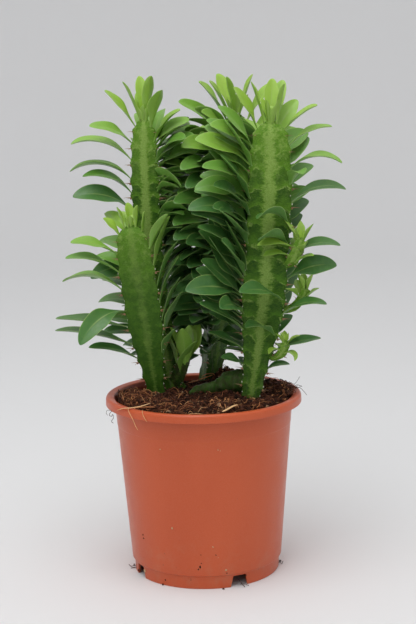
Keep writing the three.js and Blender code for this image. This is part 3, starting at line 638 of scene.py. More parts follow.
# %% Leaf from tooth
LENGTH_BY_AGE = ((0, 33), (8, 39), (22, 44), (36, 50), (110, 51), (170, 46), (230, 34))
WIDTH_BY_AGE = ((0, 8), (8, 11), (22, 14), (40, 17), (120, 18.5), (230, 14))
RISE_BY_AGE = ((0, 80), (8, 69), (22, 60), (36, 53), (110, 50), (200, 40))
BEND_BY_AGE = ((0, 10), (8, 30), (22, 48), (36, 66), (110, 66), (200, 50))
SIZE_SPREAD, SWING_SPREAD, TIP_SWING_SPREAD = 0.16, 20, 50
ROLL_SPREAD, RISE_SPREAD, BEND_SPREAD = 24, 10, 12
STEEPEST_RISE, LEAST_BEND, TIP_LEAN = 86, 6, 0.4
LEAF_SUNK, SHOOT_SUNK_SHARE = 3, 0.6
LOWEST_LEAF, LOW_LEAVES = 24, 30
LOW_LENGTH_SHARE, LOW_WIDTH_SHARE = 0.55, 0.6


def by_age(table, age):
    return float(np.interp(age, [row[0] for row in table], [row[1] for row in table]))


def leaf_at(tooth):
    one, chance = tooth.stem, tooth.chance
    age = one.tip[2] - tooth.height
    swing, roll, more_rise, more_bend, scale = tooth.wing.own.get(tooth.row, tooth.wing.usual)
    grown = 1 if one.shoot else float(smooth_share((tooth.height - SOIL_LEVEL - LOWEST_LEAF) / LOW_LEAVES))
    lean = TIP_LEAN if tooth.row < 1 else 1
    sunk = LEAF_SUNK * (SHOOT_SUNK_SHARE if one.shoot else 1)
    length = by_age(LENGTH_BY_AGE, age) * scale * (1 + vary(chance[0], SIZE_SPREAD))
    width = by_age(WIDTH_BY_AGE, age) * one.broad * math.sqrt(scale) * (1 + vary(chance[2], SIZE_SPREAD))
    rise = by_age(RISE_BY_AGE, age) + more_rise * lean + vary(chance[3], RISE_SPREAD)
    bend = by_age(BEND_BY_AGE, age) + more_bend * lean + vary(chance[4], BEND_SPREAD)
    swing_spread = TIP_SWING_SPREAD if tooth.row < 1 else SWING_SPREAD
    return SimpleNamespace(
        stem=one, owner=one.name, age=age, chance=chance, base=tooth.point - tooth.out * sunk,
        bearing=tooth.wing.bearing + swing * lean + vary(chance[1], swing_spread),
        roll=(roll + vary(chance[2], ROLL_SPREAD)) * lean,
        rise=min(STEEPEST_RISE, rise), bend=max(LEAST_BEND, bend),
        length=length * (LOW_LENGTH_SHARE + (1 - LOW_LENGTH_SHARE) * grown) + LEAF_SUNK,
        width=width * (LOW_WIDTH_SHARE + (1 - LOW_WIDTH_SHARE) * grown),
    )


print("a leaf 80 mm below a tip is", round(by_age(LENGTH_BY_AGE, 80)), "mm long")

# %% Sections of a leaf
LEAF_BASE, LEAF_FOLD = 1.3, 16
STALK_END, WIDEST, TIP_POWER, ROLL_RATE = 0.06, 0.64, 2.3, 1.6


def outline_share(s):
    widening = smooth_share((s - STALK_END) / (WIDEST - STALK_END))
    return widening * np.sqrt(1 - np.clip((s - WIDEST) / (1 - WIDEST), 0, 1) ** TIP_POWER)


def leaf_sections(leaf, s):
    """At each s along the leaf: the midrib's point, the ways to its left edge and upper side, half its width."""
    s = np.asarray(s, float)
    rise, bend, bearing = (math.radians(angle) for angle in (leaf.rise, leaf.bend, leaf.bearing))
    roll = np.radians(leaf.roll * smooth_share(s * ROLL_RATE))[:, None]
    out = np.array((math.cos(bearing), math.sin(bearing), 0.0))
    radius, angle = leaf.length / bend, rise - bend * s
    along_out = radius * (math.sin(rise) - np.sin(angle))
    along_up = radius * (np.cos(angle) - math.cos(rise))
    mid = leaf.base + out * along_out[:, None] + UP * along_up[:, None]
    forward = out * np.cos(angle)[:, None] + UP * np.sin(angle)[:, None]
    level = np.cross(UP, out)
    side = level * np.cos(roll) + np.cross(forward, level) * np.sin(roll)
    half = LEAF_BASE + (leaf.width / 2 - LEAF_BASE) * outline_share(s)
    return mid, side, np.cross(forward, side), np.where(s >= 1, 0, half)


def blade_points(sections, shares):
    mid, side, upper, half = sections
    shares = np.asarray(shares, float)
    fold = math.radians(LEAF_FOLD)
    sideways = side[:, None] * (shares * math.cos(fold))[None, :, None] * half[:, None, None]
    raised = upper[:, None] * (np.abs(shares) * math.sin(fold))[None, :, None] * half[:, None, None]
    return mid[:, None] + sideways + raised


print("widest part of a leaf, as a share of its length:", WIDEST)

# %% [markdown]
# ## Keeping leaves out of each other's way
#
# Real leaves push each other aside as they grow. Here each new leaf is tested at 45 points of its blade. If it
# comes too near to the soil, to a stem or to a leaf of another stem, it is turned, lifted or shortened until it
# has room. The construction model did the same in the same order, so both get the same plant.

# %% Place the leaves
SAMPLE_STATIONS = (0.12, 0.24, 0.36, 0.48, 0.6, 0.72, 0.82, 0.92, 1)
SAMPLE_SHARES = (-0.95, -0.5, 0, 0.5, 0.95)
STALK_SAMPLES, MIDDLE_SAMPLE = 2 * len(SAMPLE_SHARES), 4 * len(SAMPLE_SHARES) + 2
CLEAR_OTHER, CLEAR_OWN, CLEAR_STEM, CLEAR_OWN_STEM, CLEAR_SOIL = 4.2, 1.6, 2.5, -8, 5
SHRINKS, TURNS, LIFTS = (1, 0.85, 0.7), (0, 14, -14, 28, -28, 42, -42), (0, 10, -10)
NEIGHBOURHOOD = 70


def stem_distance(one, points):
    low = one.foot[2] if one.shoot else SOIL_LEVEL
    z = np.clip(points[:, 2], low, one.tip[2])
    axis = axis_at(one, z)[0]
    gap = np.hypot(points[:, 0] - axis[:, 0], points[:, 1] - axis[:, 1]) - wing_radius(one, z) - TOOTH
    return np.hypot(np.maximum(0, gap), points[:, 2] - z) + np.minimum(0, gap)


def nearest(points, others):
    apart = points[:, None] - others[None]
    return math.sqrt((apart * apart).sum(-1).min())


def clear_leaf(wanted, placed, apart=CLEAR_OTHER):
    best, best_own = None, -math.inf
    room = [(one, CLEAR_OWN_STEM if one.name == wanted.owner else CLEAR_STEM) for one in STEMS]
    for shrink, lift, turned in ((a, b, c) for a in SHRINKS for b in LIFTS for c in TURNS):
        leaf = SimpleNamespace(**{
            **vars(wanted), "length": wanted.length * shrink, "width": wanted.width * math.sqrt(shrink),
            "bearing": wanted.bearing + turned, "rise": min(STEEPEST_RISE, wanted.rise + lift),
        })
        points = blade_points(leaf_sections(leaf, SAMPLE_STATIONS), SAMPLE_SHARES).reshape(-1, 3)
        far = points[STALK_SAMPLES:]
        if points[:, 2].min() < SOIL_LEVEL + CLEAR_SOIL:
            continue
        if any(stem_distance(one, far).min() < needed for one, needed in room):
            continue
        middle = points[MIDDLE_SAMPLE]
        near = [other for other in placed if np.linalg.norm(other.middle - middle) < NEIGHBOURHOOD]
        others = [other.points for other in near if other.leaf.owner != leaf.owner]
        if others and nearest(points, np.concatenate(others)) < apart:
            continue
        own = [other.far for other in near if other.leaf.owner == leaf.owner]
        own_gap = min(CLEAR_OWN, nearest(far, np.concatenate(own))) if own else CLEAR_OWN
        if own_gap > best_own:
            best, best_own = SimpleNamespace(leaf=leaf, points=points, far=far, middle=middle), own_gap
        if own_gap >= CLEAR_OWN:
            return best
    return best


def bears_leaf(tooth):
    return (tooth.stem.shoot or tooth.height > SOIL_LEVEL + LOWEST_LEAF) and tooth.row not in tooth.wing.bare


placed = []
for side in range(3):
    for tooth in all_teeth:
        if tooth.side == side and bears_leaf(tooth):
            found = clear_leaf(leaf_at(tooth), placed)
            if found:
                placed.append(found)
print(len(placed), "leaves placed")

# %% [markdown]
# ## A denser heart
#
# The real clump is so leafy inside that little light comes through between the stems. The construction model
# keeps only the leaves that shape it from outside. Here the heart of the clump gets more of them, by the same
# rule and with the same test for room around them. They start from teeth that were left bare and from between
# two teeth, and they point inwards, so that the plant's outline stays as it was. On the front right stem's left
# wing they lie over each other like roof tiles. Where light still comes through after that, one more leaf is
# aimed at each gap from the nearest tooth.

# %% Inner leaves
HEART = np.array((-2.0, 18.0))
INNER_LOW, INNER_HIGH = 178, 374
INNER_APART = 2.2
INNER_STEPS = (0, 0.25, 0.5, 0.75)
FACING_HEART = -0.4
INNER_SWING, INNER_ROLL, INNER_BROADER, LONGEST_INNER = 90, 80, 1.1, 46
INNER_LIFT, INNER_DROP = 10, 6
BESIDE_HEART, BESIDE_SWING = 14, 40
TILE_BEARING, TILE_SWING, TILE_ROLL, TILE_LENGTH = 190, 16, -38, 50
TILE_LIFT, TILE_FLATTER, LOWEST_TILE = 8, 22, 224
inner_draw = seeded_draw(29)


def on_tiled_wing(tooth):
    return tooth.stem is STEMS[0] and tooth.side == 0


def inner_tooth(tooth, lower):
    height = tooth.height - lower
    point, tangent = axis_at(tooth.stem, height)
    out = outward(tangent, tooth.wing.bearing)
    reach = float(wing_radius(tooth.stem, height))
    moved = {"height": height, "tangent": tangent, "out": out, "reach": reach, "point": point + out * reach}
    chance = [next(inner_draw) for _ in range(5)]
    return SimpleNamespace(**{**vars(tooth), **moved, "chance": chance, "row": max(tooth.row, 1)})


def inner_leaf(tooth):
    leaf = leaf_at(tooth)
    towards = math.degrees(math.atan2(HEART[1] - tooth.point[1], HEART[0] - tooth.point[0]))
    leaf.bearing = towards + vary(tooth.chance[1], INNER_SWING)
    if tooth.stem.name == "stem_back_left":
        leaf.bearing = towards + BESIDE_HEART + vary(tooth.chance[1], BESIDE_SWING)
    leaf.roll, leaf.width = vary(tooth.chance[2], INNER_ROLL), leaf.width * INNER_BROADER
    leaf.rise, leaf.length = leaf.rise + INNER_LIFT * tooth.chance[3] - INNER_DROP, min(leaf.length, LONGEST_INNER)
    if on_tiled_wing(tooth):
        leaf.bearing, leaf.roll = TILE_BEARING + vary(tooth.chance[1], TILE_SWING), TILE_ROLL
        leaf.rise, leaf.bend, leaf.length = leaf.rise + TILE_LIFT, leaf.bend - TILE_FLATTER, TILE_LENGTH
    return leaf


inner = []
for tooth in all_teeth:
    if tooth.stem.shoot or tooth.stem.name == "stem_front_left" or not INNER_LOW < tooth.height < INNER_HIGH:
        continue
    inwards = HEART - tooth.point[:2]
    too_low = on_tiled_wing(tooth) and tooth.height < LOWEST_TILE
    if too_low or tooth.out[:2] @ inwards / np.linalg.norm(inwards) < FACING_HEART:
        continue
    for step in INNER_STEPS:
        if step or not bears_leaf(tooth):
            found = clear_leaf(inner_leaf(inner_tooth(tooth, step * tooth.stem.pitch)), placed, INNER_APART)
            if found:
                placed.append(found)
                inner.append(found)
print(len(inner), "inner leaves")

# %% Leaves for the last gaps
LIGHT_GAPS = (
    (0, 35, 271), (6, 35, 282), (-4, 35, 279), (-1, 35, 219), (0, 35, 204), (-1, 40, 190), (26, 20, 207),
    (29, 20, 198), (31, 10, 236),
)
NEAREST_REACH, FARTHEST_REACH, LONGEST_GAP_LEAF = 14, 36, 50
GAP_SHARE, GAP_ROLL = 0.6, 55


def gap_leaf(place):
    """An inner leaf from the nearest tooth, aimed so that the widest part of its blade covers the place."""
    place = np.array(place, float)

    def reach(tooth):
        return np.linalg.norm(place - tooth.point)

    able = [
        tooth for tooth in all_teeth if not tooth.stem.shoot and tooth.stem.name != "stem_front_left"
        and tooth.height < place[2] and NEAREST_REACH < reach(tooth) < FARTHEST_REACH
    ]
    tooth = inner_tooth(min(able, key=reach), 0)
    leaf, ahead = inner_leaf(tooth), place - tooth.point
    leaf.bearing = math.degrees(math.atan2(ahead[1], ahead[0]))
    leaf.length = min(LONGEST_GAP_LEAF, np.linalg.norm(ahead) / GAP_SHARE)
    leaf.rise = math.degrees(math.atan2(ahead[2], np.hypot(*ahead[:2]))) + leaf.bend * GAP_SHARE / 2
    leaf.roll = math.copysign(GAP_ROLL, ahead[0])
    return leaf


filled = [found for found in (clear_leaf(gap_leaf(place), placed, INNER_APART) for place in LIGHT_GAPS) if found]
leaves = [found.leaf for found in placed + filled]
print(len(filled), "gaps filled,", len(leaves), "leaves in all")

# %% [markdown]
# ## Fine stem bodies
#
# A stem of this plant is a three-sided column. Each wing's edge is scalloped: it stands out at a tooth and draws
# in between two teeth. A ring of points every 1.3 mm follows the bent axis. In each ring a third of the points
# belongs to each wing: they run from the middle of one face over the rounded edge to the middle of the next
# face. Two marks go with every point: how near it is to the edge, and which tooth interval it lies in. The
# finish draws the pale pattern of the faces from them. The buttress is older than all that and has lost its
# wings: it is a round, lumpy root that creeps over the soil.

# %% Fine stem bodies
RING_STEP = 1.3
STEM_SUNK = 9
VALLEY = 0.5
FACE_SHARE = 0.56
EDGE_ROUNDING = 2.8
MOST_ROUNDING = 0.42
TOOTH_POWER = 1.7
SECTOR_POINTS = 18
RELIEF = 0.28
SIN_60 = 0.866
LEAST_ROUNDING = 0.05
EDGE_CROWDING = 1.35
LINE_STEPS = 200
FEWEST_RINGS = 12
LAST_STEPS = np.array((0.6, 0.3, 0.12, 0.03, 0))
DOME_RISE, DOME_ANGLES = 2.0, (0.5, 1, 1.4)
FULLER, SHOULDER_RISE, SHOULDER_END, SHOULDER_FALL = 0.8, 0.1, 1.004, 0.035
FULL_AGE = 230
DARK_SHOOT_AGE = 0.5


def wing_phases(one, z):
    """For each wing, a number that is whole at every tooth and rises by one from tooth to tooth."""
    phases = []
    for side in range(3):
        heights = sorted(tooth.height for tooth in all_teeth if tooth.stem is one and tooth.side == side)
        heights = [heights[0] - one.pitch, *heights, heights[-1] + one.pitch]
        phases.append(np.interp(z, heights, np.arange(len(heights))))
    return phases


def bent_line(one, u):
    """Points of a stem's axis at shares u of its bent line."""
    u = u[:, None]
    return (1 - u) ** 2 * one.foot + 2 * (u * (1 - u)) * one.knee + u**2 * one.tip


def ring_places(one):
    """Axis points, ways and heights of the rings, even along the bent line and closer at its end."""
    line = bent_line(one, np.linspace(0, 1, LINE_STEPS))
    length = np.linalg.norm(np.diff(line, axis=0), axis=1).sum()
    start = 0 if one.shoot else -STEM_SUNK / (2 * (one.knee[2] - one.foot[2]))
    u = np.linspace(start, 1, max(FEWEST_RINGS, int(length / RING_STEP)))
    u = np.concatenate((u[:-1], 1 - LAST_STEPS * RING_STEP / length))
    point = bent_line(one, u)
    return point, axis_at(one, point[:, 2])[1], point[:, 2]


def blunt_radius(one, z):
    """The wing radius with a fuller shoulder under the tip, as the living stem has it."""
    share = np.clip((z - one.foot[2]) / (one.tip[2] - one.foot[2]), 0, 1)
    shoulder = smooth_share((share - CAP_START) / SHOULDER_RISE)
    shoulder = shoulder * smooth_share((SHOULDER_END - share) / SHOULDER_FALL)
    return wing_radius(one, z) + FULLER * one.radius * shoulder * (share - CAP_START)


def face_curve(reach, face, w):
    """Out and aside from the axis, at share w of the way from a wing's edge to the middle of a face."""
    fuller, rounded = face - reach / 2, 1 - (1 - w) ** 2
    out = reach + (reach / 4 - reach) * w + fuller * 0.5 * rounded
    return out, reach * (SIN_60 / 2) * w + fuller * SIN_60 * rounded


def wing_section(reach, face, u):
    """Out and aside for the points u of one wing, from face middle to face middle over the rounded edge."""
    v = np.abs(u)[None]
    share = np.clip(EDGE_ROUNDING / np.hypot(reach - face / 2, SIN_60 * face), LEAST_ROUNDING, MOST_ROUNDING)
    out, aside = face_curve(reach, face, v)
    corner_out, corner_aside = face_curve(reach, face, share)
    t = np.clip((u[None] / share + 1) / 2, 0, 1)
    round_out = (t**2 + (1 - t) ** 2) * corner_out + 2 * t * (1 - t) * (2 * reach - corner_out)
    round_aside = (t**2 - (1 - t) ** 2) * corner_aside
    in_corner = v < share
    return np.where(in_corner, round_out, out), np.where(in_corner, round_aside, aside * np.sign(u)[None])


def stem_body(one):
    point, way, z = ring_places(one)
    radius = blunt_radius(one, z)
    phases = wing_phases(one, z)
    tooth = TOOTH * (SHOOT_TOOTH_SHARE if one.shoot else 1)
    valley = 0 if one.shoot else VALLEY
    spacing = np.linspace(-1, 1, SECTOR_POINTS + 1)[:-1]
    u = np.sign(spacing) * np.abs(spacing) ** EDGE_CROWDING
    v = np.abs(u)[None]
    rings, edges, intervals = [], [], []
    for side, its_wing in enumerate(one.wings):
        phase = phases[side]
        bump = (1 - 2 * np.abs(phase - np.round(phase))) ** TOOTH_POWER
        reach = (radius - valley + (tooth + valley) * bump)[:, None]
        face = (radius * FACE_SHARE)[:, None]
        out, aside = wing_section(reach, face, u)
        neighbour = np.where(u > 0, 1, -1)
        beside = np.stack([phases[(side + k) % 3] for k in neighbour], axis=1)
        interval = phase[:, None] * (1 - v / 2) + beside * v / 2
        swell = 1 - RELIEF * np.cos(2 * math.pi * interval) * np.sin(math.pi * v) ** 2 / radius[:, None]
        out_way, side_way = outward(way, its_wing.bearing), outward(way, its_wing.bearing + 90)
        place = point[:, None] + out_way[:, None] * (out * swell)[..., None]
        rings.append(place + side_way[:, None] * (aside * swell)[..., None])
        edges.append(np.broadcast_to(1 - v, out.shape))
        intervals.append(interval)
    body, edge, interval = (np.concatenate(parts, axis=1) for parts in (rings, edges, intervals))
    last = body[-1] - point[-1]
    dome = [point[-1] + last * math.cos(a) + way[-1] * DOME_RISE * math.sin(a) for a in DOME_ANGLES]
    body = np.concatenate((body, np.stack(dome)))
    edge, interval = (np.concatenate((part, np.repeat(part[-1:], len(dome), axis=0))) for part in (edge, interval))
    age = np.clip((one.tip[2] - body[..., 2]) / FULL_AGE, 0, 1) + (DARK_SHOOT_AGE if one.shoot and one.dark else 0)
    return body, edge, interval, age


BUTTRESS = (
    ((-10, 0, 153.5), 4), ((-5, -1, 157.5), 4.6), ((2, -3, 160), 5), ((12, -6, 161.5), 5.5), ((19, -9, 166), 8.5),
    ((28, -13, 168), 9.5), ((40, -19, 170), 10),
)
BUTTRESS_RINGS, BUTTRESS_SIDES, BUTTRESS_LUMPS, LUMP_SIZE = 34, 28, 0.22, 5
BUTTRESS_MARKS = (0.75, 0.3, 0.9)


def buttress_body():
    """An old root of the stem: round rings along a soft line, made lumpy by noise."""
    places, radii = zip(*BUTTRESS)
    path = smooth_path(places, BUTTRESS_RINGS)
    radius = np.interp(np.linspace(0, 1, BUTTRESS_RINGS), np.linspace(0, 1, len(radii)), radii)
    across, deep = cross_directions(unit(np.gradient(path, axis=0)))
    angles = np.linspace(0, 2 * math.pi, BUTTRESS_SIDES, endpoint=False)[None, :, None]
    ring = (across[:, None] * np.cos(angles) + deep[:, None] * np.sin(angles)) * radius[:, None, None]
    lumps = np.array([[noise.noise(tuple(point / LUMP_SIZE)) for point in row] for row in path[:, None] + ring])
    body = path[:, None] + ring * (1 + BUTTRESS_LUMPS * lumps[..., None])
    return body, *(np.full(body.shape[:2], mark) for mark in BUTTRESS_MARKS)


def add_stem_body(gathered, one, corky):
    body, edge, interval, age = buttress_body() if is_buttress(one) else stem_body(one)
    marks = {"edge": edge.ravel(), "interval": interval.ravel(), "age": age.ravel()}
    gathered.add(body.reshape(-1, 3), tube_faces(*body.shape[:2]), corky=corky, dark=one.dark, **marks)


print("rings of the front right stem:", stem_body(STEMS[0])[0].shape[0])

# %% [markdown]
# ## The skin of a stem
#
# The skin is dark green between the ribs and the middle of a face. A pale, uneven, yellow-green band runs up
# the middle, and from it pale lines branch upwards to every tooth, like the veins of a leaf. All of this is
# drawn from the two marks that the points carry, blurred and broken by noise, because living things have no
# ruled lines. Old stems turn grey and corky near the soil, young tips are lighter.

# %% Stem finish
DARK_SKIN, MID_SKIN, FRESH_SKIN = (0.016, 0.058, 0.005), (0.06, 0.16, 0.011), (0.125, 0.27, 0.02)
PALE_SKIN, EDGE_SKIN, CORK, SCAR = (0.29, 0.42, 0.1), (0.4, 0.46, 0.2), (0.17, 0.175, 0.12), (0.7, 0.7, 0.6)
DUSTY = (0.05, 0.034, 0.02)

skin = Finish("stem_skin", roughness=0.5, specular=0.15)
edge, interval, skin_age, corky, dark = (skin.mark(name) for name in ("edge", "interval", "age", "corky", "dark"))
uneven = skin.math("SUBTRACT", skin.noise(58, 2, 0.5), 0.5)
ragged = skin.math("SUBTRACT", skin.noise(170, 5, 0.62), 0.5)
feather = skin.math("SUBTRACT", skin.noise(210, 4, 0.65, stretch=(1, 1, 3.2)), 0.5)
arch = skin.math("POWER", skin.math("ABSOLUTE", skin.times(skin.math("SUBTRACT", edge, 0.62), 2.5)), 2.0)
patch_place = interval
for share, part in ((0.3, arch), (1.1, uneven), (0.5, ragged), (0.35, feather)):
    patch_place = skin.math("ADD", patch_place, skin.times(part, share))
under_arch = skin.math("FRACT", patch_place)
side_line = skin.spread(skin.math("PINGPONG", patch_place, 0.5), 0.09, 0.02)
broken = skin.spread(skin.noise(140, 3, 0.6), 0.44, 0.6)
band_edge = edge
for share, part in ((0.35, uneven), (0.5, ragged), (0.75, feather)):
    band_edge = skin.math("ADD", band_edge, skin.times(part, share))
band = skin.spread(band_edge, 0.36, 0.1)
speckle = skin.spread(skin.noise(950, 5, 0.7), 0.3, 0.7)
patterned = skin.spread(dark, 1.0, 0.0)

# %% The dark patches, wrinkles and pale lines, one over the other
blotches = skin.spread(skin.noise(330, 4, 0.7), 0.34, 0.6, 0.66, 1.0)
patch = skin.times(skin.spread(under_arch, 0.0, 0.62), skin.spread(band_edge, 0.2, 0.45), blotches)
patch = skin.times(patch, skin.spread(skin_age, 0.0, 0.28), patterned)
wrinkles = skin.spread(skin.noise(520, 4, 0.6, stretch=(1, 1, 2.2)), 0.3, 0.7)
ground = skin.mix(skin.spread(skin_age, 0.7, 0.0), MID_SKIN, FRESH_SKIN)
ground = skin.mix(patch, ground, DARK_SKIN)
ground = skin.mix(skin.times(wrinkles, 0.34), ground, FRESH_SKIN)
# Dark streaks along the stem: painted shade of fine creases that the mesh itself doesn't have.
painted_crease_shade = skin.spread(skin.noise(640, 5, 0.68, stretch=(1, 1, 2.6)), 0.44, 0.66)
ground = skin.mix(skin.times(painted_crease_shade, 0.5), ground, DARK_SKIN)
faint_line = skin.times(side_line, broken, skin.times(patterned, 0.9))
pale = skin.math("MAXIMUM", faint_line, skin.times(band, 0.9))
pale = skin.times(pale, skin.math("ADD", skin.times(speckle, 0.6), 0.4))
pale = skin.times(pale, skin.spread(skin_age, 1.15, 0.5, 0.5, 1.0), skin.spread(dark, 0.0, 1.0, 1.0, 0.45))
fresh_mottle = skin.spread(skin.noise(190, 5, 0.7), 0.48, 0.66)
fresh_mottle = skin.times(fresh_mottle, skin.spread(skin_age, 0.35, 0.0))
pale = skin.math("MAXIMUM", pale, skin.times(fresh_mottle, 0.6))
pattern = skin.mix(pale, ground, PALE_SKIN)
dots = skin.times(skin.spread(skin.noise(420, 2, 0.5), 0.52, 0.62), skin.spread(edge, 0.95, 0.99))
pattern = skin.mix(skin.times(dots, 0.7), pattern, EDGE_SKIN)
# Stems with a dark mark are drawn darker all over: partly their own skin, partly painted shade in the clump.
mottle = skin.spread(skin.noise(150, 5, 0.7), 0.36, 0.64, 0.55, 1.0)
off_band = skin.spread(skin.times(band, skin.spread(skin_age, 0.2, 0.6)), 1.0, 0.0, 0.5, 1.0)
shade = skin.times(dark, mottle, skin.spread(skin_age, 0.0, 0.3, 0.35, 1.0), off_band)
pattern = skin.mix(shade, pattern, DARK_SKIN)
dust = skin.times(skin.spread(dark, 0.9, 1.0), skin.spread(skin.noise(240, 5, 0.7), 0.38, 0.58))
pattern = skin.mix(dust, pattern, DUSTY)
streaks = skin.spread(skin.noise(420, 4, 0.6, stretch=(1, 1, 0.1)), 0.5, 0.62)
cork_share = skin.times(corky, skin.spread(skin_age, 0.76, 0.98, 0.0, 0.55))
pattern = skin.mix(skin.times(cork_share, streaks), pattern, CORK)
skin.colour(pattern)
skin.roughness(skin.spread(skin.noise(400, 3), 0.3, 0.7, 0.46, 0.62))
skin.bump(skin.noise(700, 4, 0.6), 0.0005, 0.35)
skin.bump(wrinkles, 0.0006, 0.35)
skin.bump(pale, 0.0005, 0.4)
skin.let_light_in(0.06, (0.6, 1.0, 0.2), 0.003)
print("stem finish has", len(skin.tree.nodes), "nodes")

# %% Stems with their shoots
CORK_SHARES = {"stem_back_right": 0.7, "stem_back_left": 0.6, "stem_front_right": 0.3, "stem_front_left": 0.15}
STEM_NAMES = tuple(CORK_SHARES)
for name in STEM_NAMES:
    gathered = Gathered()
    for one in STEMS:
        if one.name == name:
            add_stem_body(gathered, one, CORK_SHARES[name])
    gathered.piece(name.replace("stem", "ribbed_stem"), skin.material, "stem_skin", replaces=name)

# %% [markdown]
# ## Fine leaves
#
# A leaf is a fleshy blade, a little over a millimetre thick at the midrib and thin at its edge. It is
# cupped along the middle, has a shallow groove above the midrib and a keel under it, and ends in a point. The
# young leaves at the top of a stem are spoon-shaped: they are widest further out, and their ends are rounder.
# Each blade is a closed tube of flat lens-shaped sections that follow the rule's own midrib and width. The
# stations are close together at the end, where the outline turns fastest. The marks say how far along and
# across each point lies, how old the leaf is, and one chance number that makes it differ from the others.

# %% Fine leaves
LEAF_STATIONS, STATION_CROWDING, BLADE_POINTS = 24, 1.5, 12
FULLEST, POINT_END = 0.58, 1.06
POINT_POWER, POINT_SHARPNESS = 2.1, 0.64
SPOON_SHIFT, ROUND_POWER, ROUND_SHARPNESS, ROUND_UNTIL = 0.12, 0.7, 0.1, 60
BROADER, YOUNG_BROADER, YOUNG_UNTIL, SHOOT_NARROWER = 1.12, 0.35, 20, 0.6
WOBBLE, WOBBLE_RATE, WOBBLE_SHIFT, NARROWEST = 0.03, 9, 6, 0.02
upper_shares = np.cos(np.linspace(0, math.pi, BLADE_POINTS + 1))
SHARES = np.concatenate((upper_shares, upper_shares[-2:0:-1]))
FACING = np.concatenate((np.ones(BLADE_POINTS + 1), -np.ones(BLADE_POINTS - 1)))


def blade_outline(s, young):
    """Share of the full width along a blade, and how far it has narrowed to its tip, which is round when young."""
    fullest = FULLEST + SPOON_SHIFT * young
    narrowing = np.clip((s - fullest) / (POINT_END - fullest), 0, 1)
    tapered = (1 - narrowing ** (POINT_POWER + ROUND_POWER * young)) ** (POINT_SHARPNESS - ROUND_SHARPNESS * young)
    return smooth_share((s - STALK_END) / (fullest - STALK_END)) * tapered, narrowing


def half_width(leaf, s):
    share, narrowing = blade_outline(s, 0 if leaf.stem.shoot else max(0, 1 - leaf.age / ROUND_UNTIL))
    young = YOUNG_BROADER * max(0, 1 - leaf.age / YOUNG_UNTIL)
    full = leaf.width * (BROADER + young) / leaf.stem.broad**SHOOT_NARROWER / 2
    half = np.maximum(LEAF_BASE * (1 - smooth_share(narrowing)) + (full - LEAF_BASE) * share, NARROWEST)
    return half * (1 + WOBBLE * np.sin(WOBBLE_RATE * s + WOBBLE_SHIFT * leaf.chance[0]))


print("widest part of an old blade, as a share of its length:", FULLEST)

# %% Relief of a blade
MIDRIB_THICKNESS, FULL_THICKNESS_FROM, TIP_THINNER, LENS_POWER = 1.35, 2.2, 0.25, 0.6
GROOVE, KEEL, RIB_WIDTH, FULL_RIB_FROM = 0.28, 0.5, 1.2, 5
EDGE_WAVE, WAVES, WAVE_SHIFT, FULL_WAVE_FROM = 0.4, 1.7, 3, 6
SHARP_CUP, ROUND_CUP, FADE_RATE = 0.35, 0.65, 3


def relief(half, s, first, second):
    """How far a blade's points stand off its plane: its cup, the waves of its edge, its thickness and its rib."""
    cup = (SHARP_CUP * np.abs(SHARES) + ROUND_CUP * SHARES**2) * half * math.sin(math.radians(LEAF_FOLD))
    wave = np.sin(2 * math.pi * (WAVES * s + first) + second * WAVE_SHIFT * np.sign(SHARES))
    wave = EDGE_WAVE * SHARES**2 * wave * np.clip(half / FULL_WAVE_FROM, 0, 1) * smooth_share(s * FADE_RATE)
    thick = MIDRIB_THICKNESS / 2 * np.minimum(1, half / FULL_THICKNESS_FROM) * (1 - TIP_THINNER * s)
    lens = FACING * thick * (1 - np.clip(SHARES**2, 0, 1)) ** LENS_POWER
    strong = np.clip(half / FULL_RIB_FROM, 0, 1) * np.clip((1 - s) * FADE_RATE, 0, 1)
    rib = np.where(FACING > 0, -GROOVE, -KEEL) * np.exp(-((SHARES * half / RIB_WIDTH) ** 2)) * strong
    return cup + wave + lens + rib


def blade(leaf):
    s = POINT_END * (1 - (1 - np.linspace(0, 1, LEAF_STATIONS)) ** STATION_CROWDING)
    mid, side, upper, _ = leaf_sections(leaf, s)
    half, s = half_width(leaf, s)[:, None], s[:, None]
    raised = relief(half, s, leaf.chance[0], leaf.chance[4])
    across = side[:, None] * (SHARES * half * math.cos(math.radians(LEAF_FOLD)))[..., None]
    points = mid[:, None] + across + upper[:, None] * raised[..., None]
    marks = {"along": s, "across": np.abs(SHARES), "above": FACING * 0.5 + 0.5}
    marks = {mark: np.broadcast_to(values, raised.shape).ravel() for mark, values in marks.items()}
    return points.reshape(-1, 3), marks


BLADE_FACES = tube_faces(LEAF_STATIONS, len(SHARES))
LOW_SHOOT_AGE = 0.06


def add_leaf(gathered, leaf):
    points, marks = blade(leaf)
    shown_age = leaf.age / FULL_AGE + LOW_SHOOT_AGE * (leaf.stem.broad > 1)
    gathered.add(points, BLADE_FACES, age=min(1, shown_age), chance=leaf.chance[1], **marks)


print("one leaf has", LEAF_STATIONS * len(SHARES), "points")

# %% [markdown]
# ## The skin of a leaf
#
# Seen from above a leaf is satin: it shows the soft sky as a bluish sheen but never mirrors it. Young leaves
# are yellow-green and nearly translucent, old ones a deep cool green. The midrib is paler, the rim of the
# blade is a thin light line, and the green is slightly mottled. A little light goes through the blade.

# %% Leaf finish
LEAF_GREENS = (
    (0.0, (0.33, 0.53, 0.06)), (0.07, (0.28, 0.495, 0.058)), (0.17, (0.155, 0.35, 0.044)),
    (0.3, (0.077, 0.212, 0.036)), (0.45, (0.052, 0.163, 0.034)), (1.0, (0.042, 0.138, 0.03)),
)
MOTTLE_GREEN, MIDRIB_GREEN, RIM_GREEN = (0.2, 0.34, 0.05), (0.34, 0.46, 0.14), (0.42, 0.55, 0.16)
STALK_GREEN, UNDER_GREEN = (0.3, 0.42, 0.1), (0.13, 0.25, 0.06)

